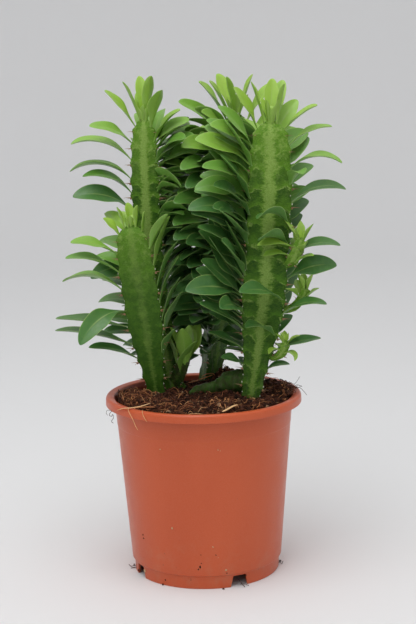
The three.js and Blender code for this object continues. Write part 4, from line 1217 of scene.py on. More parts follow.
leaf_skin = Finish("leaf_skin", roughness=0.4, specular=0.5)
leaf_age, chance, leaf_along, leaf_across, above = (
    leaf_skin.mark(name) for name in ("age", "chance", "along", "across", "above")
)
own_pace = leaf_skin.math("ADD", leaf_skin.times(chance, 0.8), 0.6)
green = leaf_skin.colours(leaf_skin.times(leaf_age, own_pace), LEAF_GREENS)
mottle = leaf_skin.spread(leaf_skin.noise(180, 4, 0.6), 0.3, 0.7)
green = leaf_skin.mix(leaf_skin.times(mottle, 0.12), green, MOTTLE_GREEN)
midrib = leaf_skin.times(leaf_skin.spread(leaf_across, 0.1, 0.02), leaf_skin.spread(leaf_along, 1.0, 0.5))
green = leaf_skin.mix(leaf_skin.times(midrib, 0.5), green, MIDRIB_GREEN)
green = leaf_skin.mix(leaf_skin.times(leaf_skin.spread(leaf_across, 0.93, 0.99), 0.62), green, RIM_GREEN)
green = leaf_skin.mix(leaf_skin.times(leaf_skin.spread(leaf_along, 0.16, 0.02), 0.6), green, STALK_GREEN)
green = leaf_skin.mix(leaf_skin.times(leaf_skin.math("SUBTRACT", 1.0, above), 0.35), green, UNDER_GREEN)
leaf_skin.colour(green)
leaf_skin.roughness(leaf_skin.spread(leaf_skin.noise(500, 3), 0.3, 0.7, 0.33, 0.46))
leaf_skin.bump(leaf_skin.noise(1500, 3, 0.6), 0.0003, 0.25)
leaf_skin.bump(leaf_skin.noise(260, 2, 0.5), 0.0006, 0.25)
leaf_skin.let_light_in(0.1, (0.5, 1.0, 0.15), 0.002)
print("leaf finish has", len(leaf_skin.tree.nodes), "nodes")

# %% [markdown]
# ## The youngest leaves
#
# At the very tip of a stem a tuft of tiny, narrow leaves has just opened. They stand nearly upright around the
# growing point, between the leaves that the rule has placed. A few small ones per tip are enough. On the short
# stem in front the youngest leaves have only begun to grow, so they are about half as long as on the others.

# %% Tip tufts and all leaves
TUFT_LEAVES, SHOOT_TUFT_LEAVES, SHOOT_SIZE = 7, 4, 0.45
TUFT_TURN, TUFT_SUNK, TUFT_NEAREST, TUFT_FURTHER = 40, 1.5, 1.2, 2.2
TUFT_STEEPEST, TUFT_FLATTER, TUFT_BEND = 84, 14, 16
TUFT_SHORTEST, TUFT_LONGER, TUFT_SLIMMEST, TUFT_BROADER, SLIM_LIMIT = 11, 12, 3.4, 2.6, 0.7
SHORT_TUFT, SHORT_SHARE, SHORT_UNTIL = "stem_front_left", 0.55, 15
tuft_draw = seeded_draw(83)


def tuft_leaf(one, k):
    chance = [next(tuft_draw) for _ in range(5)]
    bearing = 360 * k / TUFT_LEAVES + TUFT_TURN * chance[0]
    big = SHOOT_SIZE if one.shoot else 1.0
    _, way = axis_at(one, one.tip[2])
    base = one.tip - way * TUFT_SUNK * big + outward(way, bearing) * (TUFT_NEAREST + TUFT_FURTHER * chance[3]) * big
    return SimpleNamespace(
        stem=one, owner=one.name, age=0, chance=chance, base=base, bearing=bearing, roll=0,
        rise=TUFT_STEEPEST - TUFT_FLATTER * chance[1], bend=LEAST_BEND + TUFT_BEND * chance[2],
        length=(TUFT_SHORTEST + TUFT_LONGER * chance[4]) * big,
        width=(TUFT_SLIMMEST + TUFT_BROADER * chance[2]) * max(big, SLIM_LIMIT),
    )


for one in STEMS:
    if not is_buttress(one):
        leaves += [tuft_leaf(one, k) for k in range(SHOOT_TUFT_LEAVES if one.shoot else TUFT_LEAVES)]
for leaf in leaves:
    if leaf.owner == SHORT_TUFT and leaf.age < SHORT_UNTIL:
        leaf.length, leaf.width = leaf.length * SHORT_SHARE, leaf.width * (1 + SHORT_SHARE) / 2
for name in STEM_NAMES:
    gathered = Gathered()
    for leaf in leaves:
        if leaf.owner == name:
            add_leaf(gathered, leaf)
    gathered.piece(name.replace("stem", "leaves"), leaf_skin.material, "leaf", replaces=name)

# %% [markdown]
# ## Thorns
#
# Under every leaf two small reddish-brown thorns spread from a horny shield on the tooth. Next to them is the
# pale scar where the shield meets the skin. A thorn is a curved cone, thin enough to need only five sides. At
# its real length of six or seven millimetres it is a dark tick along the edge of the stem, as on the real plant.

# %% Thorns and shields
THORN_LENGTH, THORN_RADIUS, THORN_SIDES, SLIM_THORN = 6.4, 0.34, 5, 0.6
THORN_DROOP, THORN_SHORTEST, THORN_LONGER, THORN_SHAKE = -0.12, 0.85, 0.25, 0.3
THORN_OUT, THORN_ASIDE, THORN_UP, THORN_LOWER, THORN_APART, THORN_SUNK = 0.8, 0.6, 0.08, 1.8, 0.5, 0.4
SHIELD_RINGS = ((-0.8, 1.0), (0.25, 0.95), (0.5, 0.7), (0.6, 0.3))
SHIELD_SIDES, SHIELD_LENGTH, SHIELD_WIDTH, SHIELD_LOWER, SHIELD_SUNK = 8, 1.1, 0.6, 2.3, 0.3
SCAR_HEIGHT, SCAR_SIDES, SCAR_RINGS, SCAR_SIZE, SMALL_SCARS = 0.6, 7, 3, 0.9, {"stem_front_left": 0.62}
thorn_draw = seeded_draw(5)


def ring_points(centre, way, radii, count):
    across, deep = cross_directions(unit(np.asarray(way, float))[None])
    angles = np.linspace(0, 2 * math.pi, count, endpoint=False)[:, None]
    return centre + across * np.cos(angles) * radii + deep * np.sin(angles) * radii


def horn(base, way, lift, length, radius, sides=THORN_SIDES, rings=5):
    points = []
    for k in range(rings):
        t = k / (rings - 1)
        centre = base + way * length * t + UP * lift * length * t * t
        points.append(ring_points(centre, way, radius * (1 - t) ** 0.8 + 0.02, sides))
    return np.concatenate(points), tube_faces(rings, sides)


def shield(tooth, size):
    """A low oval pad on a tooth, longer along the stem than across it."""
    sideways = np.cross(tooth.tangent, tooth.out)
    points = []
    for height, share in SHIELD_RINGS:
        centre = tooth.point + tooth.out * (height - SHIELD_SUNK) - tooth.tangent * SHIELD_LOWER
        for k in range(SHIELD_SIDES):
            a = 2 * math.pi * k / SHIELD_SIDES
            flat = tooth.tangent * math.sin(a) * SHIELD_LENGTH + sideways * math.cos(a) * SHIELD_WIDTH
            points.append(centre + flat * share * size)
    return np.array(points), tube_faces(len(SHIELD_RINGS), SHIELD_SIDES)


def dress_teeth(thorns, scars, name):
    """Each tooth gets a shield, two thorns, a scar just above them and one halfway to the tooth below."""
    for tooth in all_teeth:
        if tooth.stem.name != name or tooth.row < 1 or is_buttress(tooth.stem):
            continue
        size = SHOOT_SIZE if tooth.stem.shoot else 1.0
        sideways = np.cross(tooth.tangent, tooth.out)
        points, faces = shield(tooth, size)
        thorns.add(points, faces, tone=next(thorn_draw))
        for hand in (-1, 1):
            shake = vary(next(thorn_draw), THORN_SHAKE)
            way = unit(tooth.out * THORN_OUT + sideways * (THORN_ASIDE + shake) * hand + UP * THORN_UP)
            base = tooth.point - tooth.tangent * THORN_LOWER + sideways * THORN_APART * hand * size - way * THORN_SUNK
            length = THORN_LENGTH * size * (THORN_SHORTEST + THORN_LONGER * next(thorn_draw))
            points, faces = horn(base, way, THORN_DROOP, length, THORN_RADIUS * max(size, SLIM_THORN))
            thorns.add(points, faces, tone=next(thorn_draw))
        for deep, lower, radius in ((0.5, -0.9, 1.0), (VALLEY + TOOTH + 0.2, tooth.stem.pitch / 2, 0.8)):
            spot = tooth.point - tooth.out * deep * size - tooth.tangent * lower * size
            radius = radius * size * SMALL_SCARS.get(name, SCAR_SIZE)
            points, faces = horn(spot, tooth.out, 0, SCAR_HEIGHT, radius, SCAR_SIDES, SCAR_RINGS)
            scars.add(points, faces)


thorn_skin = Finish("thorn", roughness=0.4, specular=0.5)
tone = thorn_skin.mark("tone")
brown = thorn_skin.mix(tone, (0.19, 0.095, 0.045), (0.4, 0.22, 0.11))
grain = thorn_skin.spread(thorn_skin.noise(2500, 3), 0.3, 0.7)
thorn_skin.colour(thorn_skin.mix(thorn_skin.times(grain, 0.35), brown, (0.4, 0.24, 0.13)))
thorn_skin.bump(thorn_skin.noise(3000, 2), 0.0001, 0.3)
scar_skin = Finish("scar", roughness=0.7, specular=0.3)
scar_skin.colour(scar_skin.mix(scar_skin.noise(1800, 3), SCAR, (0.52, 0.56, 0.38)))
scar_skin.bump(scar_skin.noise(2500, 2), 0.0001, 0.4)
for name in STEM_NAMES:
    thorns, scars = Gathered(), Gathered()
    dress_teeth(thorns, scars, name)
    thorns.piece(name.replace("stem", "thorns"), thorn_skin.material, "thorn")
    scars.piece(name.replace("stem", "scars"), scar_skin.material, "stem_skin")

# %% [markdown]
# ## The soil surface
#
# The soil is peat, pressed into a low mound and banked up here and there against the pot. Its body is one closed
# mesh: rings run up the inside of the pot and then inwards over the mound to the middle. The mound follows the
# construction model's own waves. On top of them come clods of three sizes, made from fixed noise, because a
# surface that catches light this unevenly can't be drawn with a finish alone.

# %% Soil body
FOOT_HEIGHT, RIM_SKIRT = 12, 7.6
BODY_TOP_RADIUS, BODY_FOOT_RADIUS, WALL = 77.1, 65.7, 1.6
SOIL_EDGE_DROP = 6.5
SOIL_EDGE = 74.9
SOIL_SECTORS = 192
SOIL_GAP, SOIL_ROUND, SOIL_BOTTOM, SOIL_LOW_EDGE = 0.6, 3, 12.35, 14.4
MOUND_RINGS, LAST_MOUND_RING, MIDDLE_RINGS = 62, 3, (2, 1)
SOIL_BANKS = (
    (57, 27, 6.5, 17), (21, 50, 13.0, 8), (-64, -18, 6.0, 15), (-73, 2, 4.5, 13), (-48, -48, 4.0, 14),
    (73, 0, 5.5, 15), (64, -36, 2.5, 14), (52, -50, 2.5, 14), (5, -68, 3.6, 24), (2, -8, 1.5, 9), (24, -27, 5.0, 8),
    (-52, 42, -6.0, 12), (-14, 68, -6.5, 9),
)
CLODS = ((1.5, 10), (1.0, 4.2), (0.55, 1.9))


def bank_height(x, y, bank_x, bank_y, height, spread):
    return height * np.exp(-(((x - bank_x) ** 2 + (y - bank_y) ** 2) / spread**2) / 2)


def soil_height(x, y):
    fall = SOIL_EDGE_DROP * (np.hypot(x, y) / BODY_TOP_RADIUS) ** 4
    waves = 0.7 * np.sin(0.21 * x + 0.9) * np.cos(0.17 * y) + 0.5 * np.sin(0.37 * y + 0.2 * x)
    return SOIL_LEVEL - fall + waves + sum(bank_height(x, y, *bank) for bank in SOIL_BANKS)


def clod_height(x, y):
    places = list(zip(np.ravel(x).tolist(), np.ravel(y).tolist()))
    raised = [sum(h * noise.noise((a / size, b / size, size)) for h, size in CLODS) for a, b in places]
    return np.reshape(raised, np.shape(x))


def soil_top(x, y):
    x, y = np.asarray(x, float), np.asarray(y, float)
    return soil_height(x, y) + clod_height(x, y)


def soil_body():
    angles = np.linspace(0, 2 * math.pi, SOIL_SECTORS, endpoint=False)

    def ring(radius):
        return np.stack((radius * np.cos(angles), radius * np.sin(angles)), axis=1)

    low_radius = BODY_FOOT_RADIUS - WALL - SOIL_GAP
    bottom = ((low_radius - SOIL_ROUND, SOIL_BOTTOM), (low_radius, SOIL_LOW_EDGE))
    rings = [np.column_stack((ring(radius), np.full(SOIL_SECTORS, z))) for radius, z in bottom]
    for radius in (*np.linspace(SOIL_EDGE, LAST_MOUND_RING, MOUND_RINGS), *MIDDLE_RINGS):
        flat = ring(radius)
        rings.append(np.column_stack((flat, soil_top(flat[:, 0], flat[:, 1]))))
    return np.concatenate(rings), tube_faces(len(rings), SOIL_SECTORS)


print("soil in the middle reaches", round(float(soil_top(0, 0)), 1), "mm")

# %% [markdown]
# ## Peat, crumbs and fibres
#
# Moist peat is nearly black in its gaps and warm brown on its crumbs. Between the crumbs lie coir fibres, the
# tan threads and short chips of coconut husk, and a few straws and strips of bark. The crumbs are small jagged
# lumps, sunk halfway into the surface. A fibre is a thin tube that wanders over the surface and lifts here and
# there. A chip is a fibre too, only shorter and broader.

# %% Peat finish
peat = Finish("peat", roughness=0.95, specular=0.15)
peat_tone = peat.colours(peat.noise(420, 5, 0.7), (
    (0.3, (0.009, 0.003, 0.002)), (0.5, (0.045, 0.014, 0.006)), (0.68, (0.115, 0.038, 0.016)),
    (0.8, (0.22, 0.09, 0.038)),
))
peat.colour(peat_tone)
peat.bump(peat.noise(900, 6, 0.7), 0.0012, 0.9)
soil_points, soil_faces = soil_body()
new_piece("peat_mound", soil_points, soil_faces, peat.material, replaces="soil")

# %% Crumbs
CRUMBS, CRUMB_REACH, JAGGED, SQUASHED = 5200, 74.2, (0.6, 1.25), (0.55, 1.2)
SMALLEST_CRUMB, CRUMB_RANGE, CRUMB_POWER, CRUMB_RAISED, LIGHTEST_CRUMB = 0.55, 2.0, 3.2, 0.25, 0.94
rng = np.random.default_rng(17)
golden = (1 + 5**0.5) / 2
CORNERS = unit(np.array([
    (-1, golden, 0), (1, golden, 0), (-1, -golden, 0), (1, -golden, 0), (0, -1, golden), (0, 1, golden),
    (0, -1, -golden), (0, 1, -golden), (golden, 0, -1), (golden, 0, 1), (-golden, 0, -1), (-golden, 0, 1),
]))
CORNER_FACES = [
    (0, 11, 5), (0, 5, 1), (0, 1, 7), (0, 7, 10), (0, 10, 11), (1, 5, 9), (5, 11, 4), (11, 10, 2), (10, 7, 6),
    (7, 1, 8), (3, 9, 4), (3, 4, 2), (3, 2, 6), (3, 6, 8), (3, 8, 9), (4, 9, 5), (2, 4, 11), (6, 2, 10), (8, 6, 7),
    (9, 8, 1),
]


def lump(centre, size):
    jagged = CORNERS * rng.uniform(*JAGGED, (len(CORNERS), 1)) * rng.uniform(*SQUASHED, 3)
    return centre + jagged * size


def scattered(count, reach):
    radius, angle = reach * np.sqrt(rng.random(count)), 2 * math.pi * rng.random(count)
    return radius * np.cos(angle), radius * np.sin(angle)


crumb_finish = Finish("crumbs", roughness=0.9, specular=0.2)
crumb_finish.colour(crumb_finish.colours(crumb_finish.mark("tone"), (
    (0.0, (0.01, 0.004, 0.002)), (0.5, (0.048, 0.016, 0.008)), (0.85, (0.13, 0.045, 0.02)),
    (1.0, (0.58, 0.38, 0.22)),
)))
crumb_finish.bump(crumb_finish.noise(1600, 4, 0.7), 0.0005, 0.8)
crumbs = Gathered()
x, y = scattered(CRUMBS, CRUMB_REACH)
sizes = SMALLEST_CRUMB + CRUMB_RANGE * rng.random(CRUMBS) ** CRUMB_POWER
tones = LIGHTEST_CRUMB * rng.random(CRUMBS)
for place, size, tone in zip(np.column_stack((x, y, soil_top(x, y))), sizes, tones):
    crumbs.add(lump(place + UP * size * CRUMB_RAISED, size), CORNER_FACES, tone=tone)
crumbs.piece("soil_crumbs", crumb_finish.material, "peat")

# %% Fibres
FIBRES, FIBRE_STEPS = 1250, 9
SLIMMEST_FIBRE, FIBRE_RANGE, FIBRE_POWER = 0.14, 0.36, 2.2
CHIP_SHARE, CHIP_LENGTH, CHIP_WIDTH = 0.3, 0.38, 1.9
HEAP_EDGE, HEAP_TONE_POWER, TONE_POWER, LIGHTEST_FIBRE = -42, 1.1, 1.7, 0.97
FIBRE_REACH, FIBRE_LIMIT, FIBRE_LENGTHS, HIGHEST_LIFT, FIBRE_RAISED = 73, 73.8, (4, 16), 3.6, 0.9
TUFTS = ((-62, -22, 16, 0.26), (66, -4, 14, 0.14), (-30, -50, 22, 0.16), (16, -52, 14, 0.1), (45, -45, 14, 0.06))


def strand(path, radii, sides=4, flat=1.0):
    path = np.asarray(path, float)
    ways = unit(np.gradient(path, axis=0))
    across = unit(np.cross(ways, UP) + 1e-6)
    deep = np.cross(across, ways)
    angles = np.linspace(0, 2 * math.pi, sides, endpoint=False)
    radii = np.broadcast_to(radii, len(path))[:, None, None]
    ring = across[:, None] * np.cos(angles)[None, :, None] + deep[:, None] * np.sin(angles)[None, :, None] * flat
    return (path[:, None] + ring * radii).reshape(-1, 3), tube_faces(len(path), sides)


def fibre_start():
    pick = rng.random()
    for fx, fy, spread, share in TUFTS:
        if pick < share:
            return np.array((fx, fy)) + rng.normal(0, spread / 2, 2)
        pick -= share
    return np.array(scattered(1, FIBRE_REACH)).ravel()


def fibre_path(size):
    place, heading = fibre_start(), rng.uniform(0, 2 * math.pi)
    length, turn = rng.uniform(*FIBRE_LENGTHS) * size, rng.normal(0, 0.06)
    lift = HIGHEST_LIFT * rng.random() ** 2
    flat = []
    for _ in range(FIBRE_STEPS):
        radius = math.hypot(*place)
        flat.append(place * min(1, FIBRE_LIMIT / radius) if radius > 0 else place.copy())
        place = place + np.array((math.cos(heading), math.sin(heading))) * length / (FIBRE_STEPS - 1)
        heading += turn + rng.normal(0, 0.05)
    flat = np.array(flat)
    arch = np.sin(np.linspace(0.15, math.pi - 0.3 * rng.random(), FIBRE_STEPS))
    raised = soil_height(*flat.T) + FIBRE_RAISED + lift * arch + rng.normal(0, 0.25, FIBRE_STEPS)
    return np.column_stack((flat, raised))


fibre_finish = Finish("coir_fibre", roughness=0.75, specular=0.3)
fibre_tone = fibre_finish.colours(fibre_finish.mark("tone"), (
    (0.0, (0.04, 0.012, 0.006)), (0.45, (0.14, 0.04, 0.017)), (0.72, (0.42, 0.15, 0.058)),
    (0.92, (0.7, 0.33, 0.13)), (1.0, (0.95, 0.6, 0.3)),
))
shade = fibre_finish.spread(fibre_finish.noise(700, 3), 0.3, 0.7)
fibre_finish.colour(fibre_finish.mix(fibre_finish.times(shade, 0.3), fibre_tone, (0.13, 0.05, 0.022)))
fibre_finish.bump(fibre_finish.noise(3000, 3, stretch=(1, 1, 0.3)), 0.0002, 0.5)
fibres = Gathered()
for _ in range(FIBRES):
    chip = rng.random() < CHIP_SHARE
    radius = (SLIMMEST_FIBRE + FIBRE_RANGE * rng.random() ** FIBRE_POWER) * (CHIP_WIDTH if chip else 1)
    taper = radius * np.sin(np.linspace(0.5, math.pi - 0.4, FIBRE_STEPS)) ** 0.5
    path = fibre_path(CHIP_LENGTH if chip else 1)
    power = HEAP_TONE_POWER if path[0, 0] < HEAP_EDGE else TONE_POWER
    fibres.add(*strand(path, taper, sides=3), tone=rng.random() ** power * LIGHTEST_FIBRE)
fibres.piece("coir_fibres", fibre_finish.material, "coir_fibre")

# %% [markdown]
# ## Straws, bark and roots that catch the eye
#
# A few single pieces tell that this soil was filled in by hand: a straw that lies across the rim with two
# strands hanging from it, a curled rootlet under the rim, a strip of bark at the foot of the tall stem, a pale
# chip at the front, a burst of short fibres and a few dark hair roots that reach over the edge. Each one is a
# bent strand through a handful of points.

# %% Single pieces in the soil
STRAWS = (
    (((-72.5, -45.5, 152.4), (-66.5, -54, 155.8), (-60, -58, 157.1), (-52, -56, 157.8), (-44, -52, 159.4)),
     0.9, 1.0, 0.35),
    (((-62.5, -57, 157), (-62, -60.6, 154.6), (-58.5, -63.5, 148), (-56.5, -64.6, 143), (-54.5, -65, 139.5)),
     0.28, 0.95, 1),
    (((-50, -66, 157), (-50.3, -69.6, 155), (-48.5, -71, 151), (-46.5, -71.8, 148)), 0.25, 0.95, 1),
    (((-58, -62, 157.2), (-55, -61, 157.9), (-48, -60, 157.9), (-40, -62, 158.2)), 0.3, 0.8, 1),
    (((15.5, -76.5, 156.7), (19, -72.5, 157.3), (24, -66, 158.4), (28, -62, 158.8)), 1.4, 1.0, 0.3),
    (((-15, 31, 157.4), (-8, 35, 158.2), (0, 41, 159.6), (8, 46.5, 161)), 0.9, 0.8, 0.5),
    (((-2, 42, 160.5), (3, 45, 162.5), (9, 47, 162), (11, 46, 159.5)), 0.7, 0.75, 0.5),
    (((33, -47, 156.5), (35, -52, 158), (36, -56, 160.5), (36.5, -57.5, 162)), 0.4, 0.9, 1),
    (((44, -58, 155), (46, -61, 157.4), (46.5, -62, 160.5)), 0.45, 0.85, 1),
)
ROOTS = (
    (((-77.5, -33, 148.8), (-79, -32, 147.4), (-80.4, -31, 145), (-78.4, -32, 143.8), (-77.4, -32, 145.6),
      (-76.8, -32, 142.6), (-78.6, -32, 139.6), (-77, -32, 138)), 0.24),
    (((-77.5, -33, 148.8), (-81.6, -31, 149), (-82.9, -31, 146.5), (-81.6, -31, 144.6)), 0.17),
    (((74, 4, 155.5), (77, 2, 158.6), (81, 1, 163), (84, 0, 168)), 0.16),
    (((80, 8, 156.2), (84, 4, 157.4), (87.2, 1, 154.8), (90, -1, 151.6)), 0.2),
    (((78, -2, 156.5), (82, -4, 158.8), (85, -6, 161.5)), 0.15),
    (((79, 14, 156.5), (83, 12, 158), (86.5, 10, 156.8)), 0.22),
    (((-61.5, -11, 4), (-64.6, -7, 2.2), (-67.5, -4, 0.6), (-69.5, -2, 1.6)), 0.26),
    (((-62, -9, 1.2), (-65, -8, 0.5), (-67.4, -9, 0.6)), 0.3),
    (((26.5, -57, 5.5), (29, -60, 3.2), (31.5, -61.5, 0.6)), 0.35),
    (((28, -55, 0.8), (32, -57.5, 1.6), (35, -58, 0.6)), 0.3),
    (((61.5, -9, 4), (64.4, -8, 2.4), (66.2, -5, 0.5), (67.2, -2, 1.8)), 0.26),
)
BURST_PLACE, BURST_FIBRES, BURST_TURN, BURST_LENGTHS = (16.5, -50), 14, 2.4, (4, 9)
BURST_RAISED, BURST_LIFTS, BURST_FLATTER = 0.6, (0.5, 5), 0.8
HAIR_ROOTS, HAIR_CIRCLE, HAIR_ANGLES, HAIR_LOWEST, HAIR_RANGE = 60, 76.5, (-0.25, 0.45), 155.5, 1.5
HAIR_SPREAD, HAIR_LIFTS = (2.2, 4), (0.3, 2.6)
straws = Gathered()
for points, radius, tone, flat in STRAWS:
    path = smooth_path(points)
    taper = radius * np.clip(np.sin(np.linspace(0.3, math.pi - 0.3, len(path))) * 1.6, 0.3, 1)
    straws.add(*strand(path, taper, sides=6, flat=flat), tone=tone)
for points, radius in ROOTS:
    straws.add(*strand(smooth_path(points, 28), radius, sides=5), tone=0.02)
for k in range(BURST_FIBRES):
    angle, length = BURST_TURN * k, rng.uniform(*BURST_LENGTHS)
    centre = np.array((*BURST_PLACE, float(soil_top(*BURST_PLACE)) + BURST_RAISED))
    ahead, deeper = math.cos(angle) * length, math.sin(angle) * length * BURST_FLATTER
    end = centre + np.array((ahead, deeper, rng.uniform(*BURST_LIFTS)))
    straws.add(*strand(smooth_path((centre, (centre + end) / 2 + UP, end), 7), 0.2, sides=4), tone=0.9)
for _ in range(HAIR_ROOTS):
    angle, height = rng.uniform(*HAIR_ANGLES), HAIR_LOWEST + HAIR_RANGE * rng.random()
    centre = np.array((HAIR_CIRCLE * math.cos(angle), HAIR_CIRCLE * math.sin(angle), height))
    path = [centre + (*(rng.normal(0, wide) for wide in HAIR_SPREAD), rng.uniform(*HAIR_LIFTS)) for _ in range(4)]
    straws.add(*strand(smooth_path(path, 10), 0.2, sides=3), tone=rng.random() * 0.6)
straws.piece("straws_and_roots", fibre_finish.material, "coir_fibre")

# %% [markdown]
# ## The pot
#
# The pot is injection-moulded polypropylene. It was turned in the construction model with few sides, so here it
# is turned again from the same profile with many, and every edge gets the small round that a mould leaves. A
# faint step runs round it below the rim, and a groove parts the foot ring from the body. Then the same
# notches and drain holes are cut by a Boolean modifier, which is applied at once.

# %% Turned pot
RIM_THICKNESS, RIM_ROUND, RIM_DISH, INNER_LIP = 3, 1.8, 0.9, 5
FOOT_RADIUS, FOOT_STEP, DRAFT, FLOOR_THICKNESS = 63.4, 0.8, 0.4, 2
POT_SIDES = 180
STEP_HEIGHT, STEP_DEPTH, STEP_RISE = 131, 0.3, 0.4
CORNER_POINTS, CORNER_LIMIT, LONGEST_RING_GAP = 5, 0.45, 9


def body_radius(z):
    share = (z - FOOT_HEIGHT) / (POT_HEIGHT - RIM_SKIRT - FOOT_HEIGHT)
    return BODY_FOOT_RADIUS + (BODY_TOP_RADIUS - BODY_FOOT_RADIUS) * share


def pot_profile():
    """Corners of the wall's outline: radius, height and how much the corner is rounded."""
    skirt, under = POT_HEIGHT - RIM_SKIRT, FOOT_HEIGHT - FLOOR_THICKNESS
    inside = body_radius(POT_HEIGHT - INNER_LIP) - WALL
    return (
        (8, under, 0), (FOOT_RADIUS - WALL, under, 0.8), (FOOT_RADIUS - WALL, 0, 0.4), (FOOT_RADIUS, 0, 0.5),
        (FOOT_RADIUS + DRAFT, FOOT_HEIGHT - FOOT_STEP, 0.35), (BODY_FOOT_RADIUS, FOOT_HEIGHT, 0.5),
        (body_radius(STEP_HEIGHT) - STEP_DEPTH, STEP_HEIGHT - STEP_RISE, 0.3),
        (body_radius(STEP_HEIGHT), STEP_HEIGHT + STEP_RISE, 0.3),
        (BODY_TOP_RADIUS, skirt, 0), (BODY_TOP_RADIUS + DRAFT, POT_HEIGHT - RIM_THICKNESS, 0.6),
        (RIM_RADIUS - RIM_THICKNESS + DRAFT, POT_HEIGHT - RIM_THICKNESS, 0.6), (RIM_RADIUS - WALL, skirt, 0.3),
        (RIM_RADIUS, skirt, 0.5), (RIM_RADIUS - DRAFT / 2, POT_HEIGHT - RIM_ROUND, 1.2),
        (RIM_RADIUS - RIM_THICKNESS * 0.6, POT_HEIGHT, 1.2),
        (BODY_TOP_RADIUS + 2 * DRAFT, POT_HEIGHT - RIM_DISH, 1.0),
        (inside + DRAFT / 2, POT_HEIGHT - INNER_LIP, 1.0), (body_radius(FOOT_HEIGHT) - WALL, FOOT_HEIGHT, 1.2),
        (8, FOOT_HEIGHT, 0),
    )


def rounded_outline(corners):
    places = np.array([corner[:2] for corner in corners], float)
    outline = [places[0]]
    for k in range(1, len(corners) - 1):
        before, here, after = places[k - 1: k + 2]
        room = CORNER_LIMIT * min(np.linalg.norm(before - here), np.linalg.norm(after - here))
        reach = min(corners[k][2], room)
        first, last = here + unit(before - here) * reach, here + unit(after - here) * reach
        for t in np.linspace(0, 1, CORNER_POINTS):
            outline.append((1 - t) ** 2 * first + 2 * t * (1 - t) * here + t**2 * last)
    return np.array([*outline, places[-1]])


def turned_pot():
    outline = rounded_outline(pot_profile())
    spaced = []
    for low, high in zip(outline, outline[1:]):
        pieces = max(1, int(np.linalg.norm(high - low) / LONGEST_RING_GAP))
        spaced.extend(low + (high - low) * k / pieces for k in range(pieces))
    outline = np.array([*spaced, outline[-1]])
    angles = np.linspace(0, 2 * math.pi, POT_SIDES, endpoint=False)
    rings = [np.column_stack((r * np.cos(angles), r * np.sin(angles), np.full(POT_SIDES, z))) for r, z in outline]
    return np.concatenate(rings), tube_faces(len(rings), POT_SIDES)


print("pot outline has", len(rounded_outline(pot_profile())), "points")

# %% [markdown]
# ## Moulded plastic
#
# The plastic is a warm brick red with a satin face. It looks paler where we see it at a flat angle, because
# there it mirrors the bright room, and a real shader does the same by itself. Inside the rim the wall is
# darkened as painted shade. Handling has left faint scuffs and a veil of dust low on the body, and moulding
# has left a slight unevenness that softens the reflections.

# %% Plastic finish
plastic = Finish("pot_plastic", roughness=0.36, specular=0.42)
cloudy = plastic.spread(plastic.noise(14, 4, 0.5, stretch=(1, 1, 0.35)), 0.3, 0.7)
clay = plastic.mix(cloudy, (0.515, 0.08, 0.02), (0.565, 0.093, 0.025))
grain = plastic.spread(plastic.noise(1100, 3, 0.6), 0.3, 0.75)
clay = plastic.mix(plastic.times(grain, 0.08), clay, (0.72, 0.3, 0.18))
height = plastic.node("ShaderNodeSeparateXYZ", {"Vector": plastic.place}).outputs["Z"]
dust_share = plastic.times(plastic.spread(height, 0.06, 0.0), plastic.spread(plastic.noise(90, 6, 0.7), 0.45, 0.75))
clay = plastic.mix(plastic.times(dust_share, 0.3), clay, (0.45, 0.22, 0.13))
fleck = plastic.times(plastic.spread(plastic.noise(520, 2, 0.4), 0.735, 0.78), plastic.spread(height, 0.16, 0.0))
clay = plastic.mix(plastic.times(fleck, 0.55), clay, (0.1, 0.045, 0.025))
scuff = plastic.spread(plastic.noise(240, 8, 0.8, stretch=(1, 1, 0.15)), 0.62, 0.75)
clay = plastic.mix(plastic.times(scuff, 0.1), clay, (0.78, 0.42, 0.3))
from_axis = plastic.vector_math("SUBTRACT", plastic.place, tuple(PLAN_ORIGIN))["Vector"]
level = plastic.vector_math("MULTIPLY", from_axis, (1, 1, 0))["Vector"]
axis_distance = plastic.vector_math("LENGTH", level)["Value"]
# The wall inside the rim is drawn dark, as painted shade.
inside = plastic.times(plastic.spread(axis_distance, 0.0779, 0.0772), plastic.spread(height, 0.1484, 0.149))
clay = plastic.mix(plastic.times(inside, 0.85), clay, (0.16, 0.018, 0.008))
plastic.colour(clay)
cloud = plastic.spread(plastic.noise(60, 5, 0.6), 0.3, 0.7, 0.3, 0.4)
plastic.roughness(plastic.math("ADD", cloud, plastic.times(scuff, 0.12)))
plastic.bump(plastic.noise(2200, 3, 0.6), 0.0002, 0.18)
plastic.bump(plastic.noise(45, 2, 0.4), 0.0012, 0.22)
pot_points, pot_faces = turned_pot()
pot = new_piece("nursery_pot", pot_points, pot_faces, plastic.material, replaces="pot")

# %% Notches in the foot ring and drain holes
NOTCH_BEARINGS = (-64.5, 25.5, 115.5, 205.5)
NOTCH_TOP_WIDTH, NOTCH_FOOT_WIDTH, NOTCH_HEIGHT, NOTCH_DEPTH = 11.5, 16.5, 9.8, 12
DRAIN_RADIUS, DRAIN_CIRCLE, DRAIN_OFFSETS, DRAIN_SIDES, DRAIN_REACH = 5, 50, (0, 45), 24, (7, 15)
SHARP_ANGLE = 32


def turned_about(points, bearing):
    """Points made at the front, carried round to a bearing towards the right."""
    cosine, sine = math.cos(math.radians(bearing)), math.sin(math.radians(bearing))
    x, y, z = np.asarray(points, float).T
    return np.column_stack((x * cosine - y * sine, x * sine + y * cosine, z))


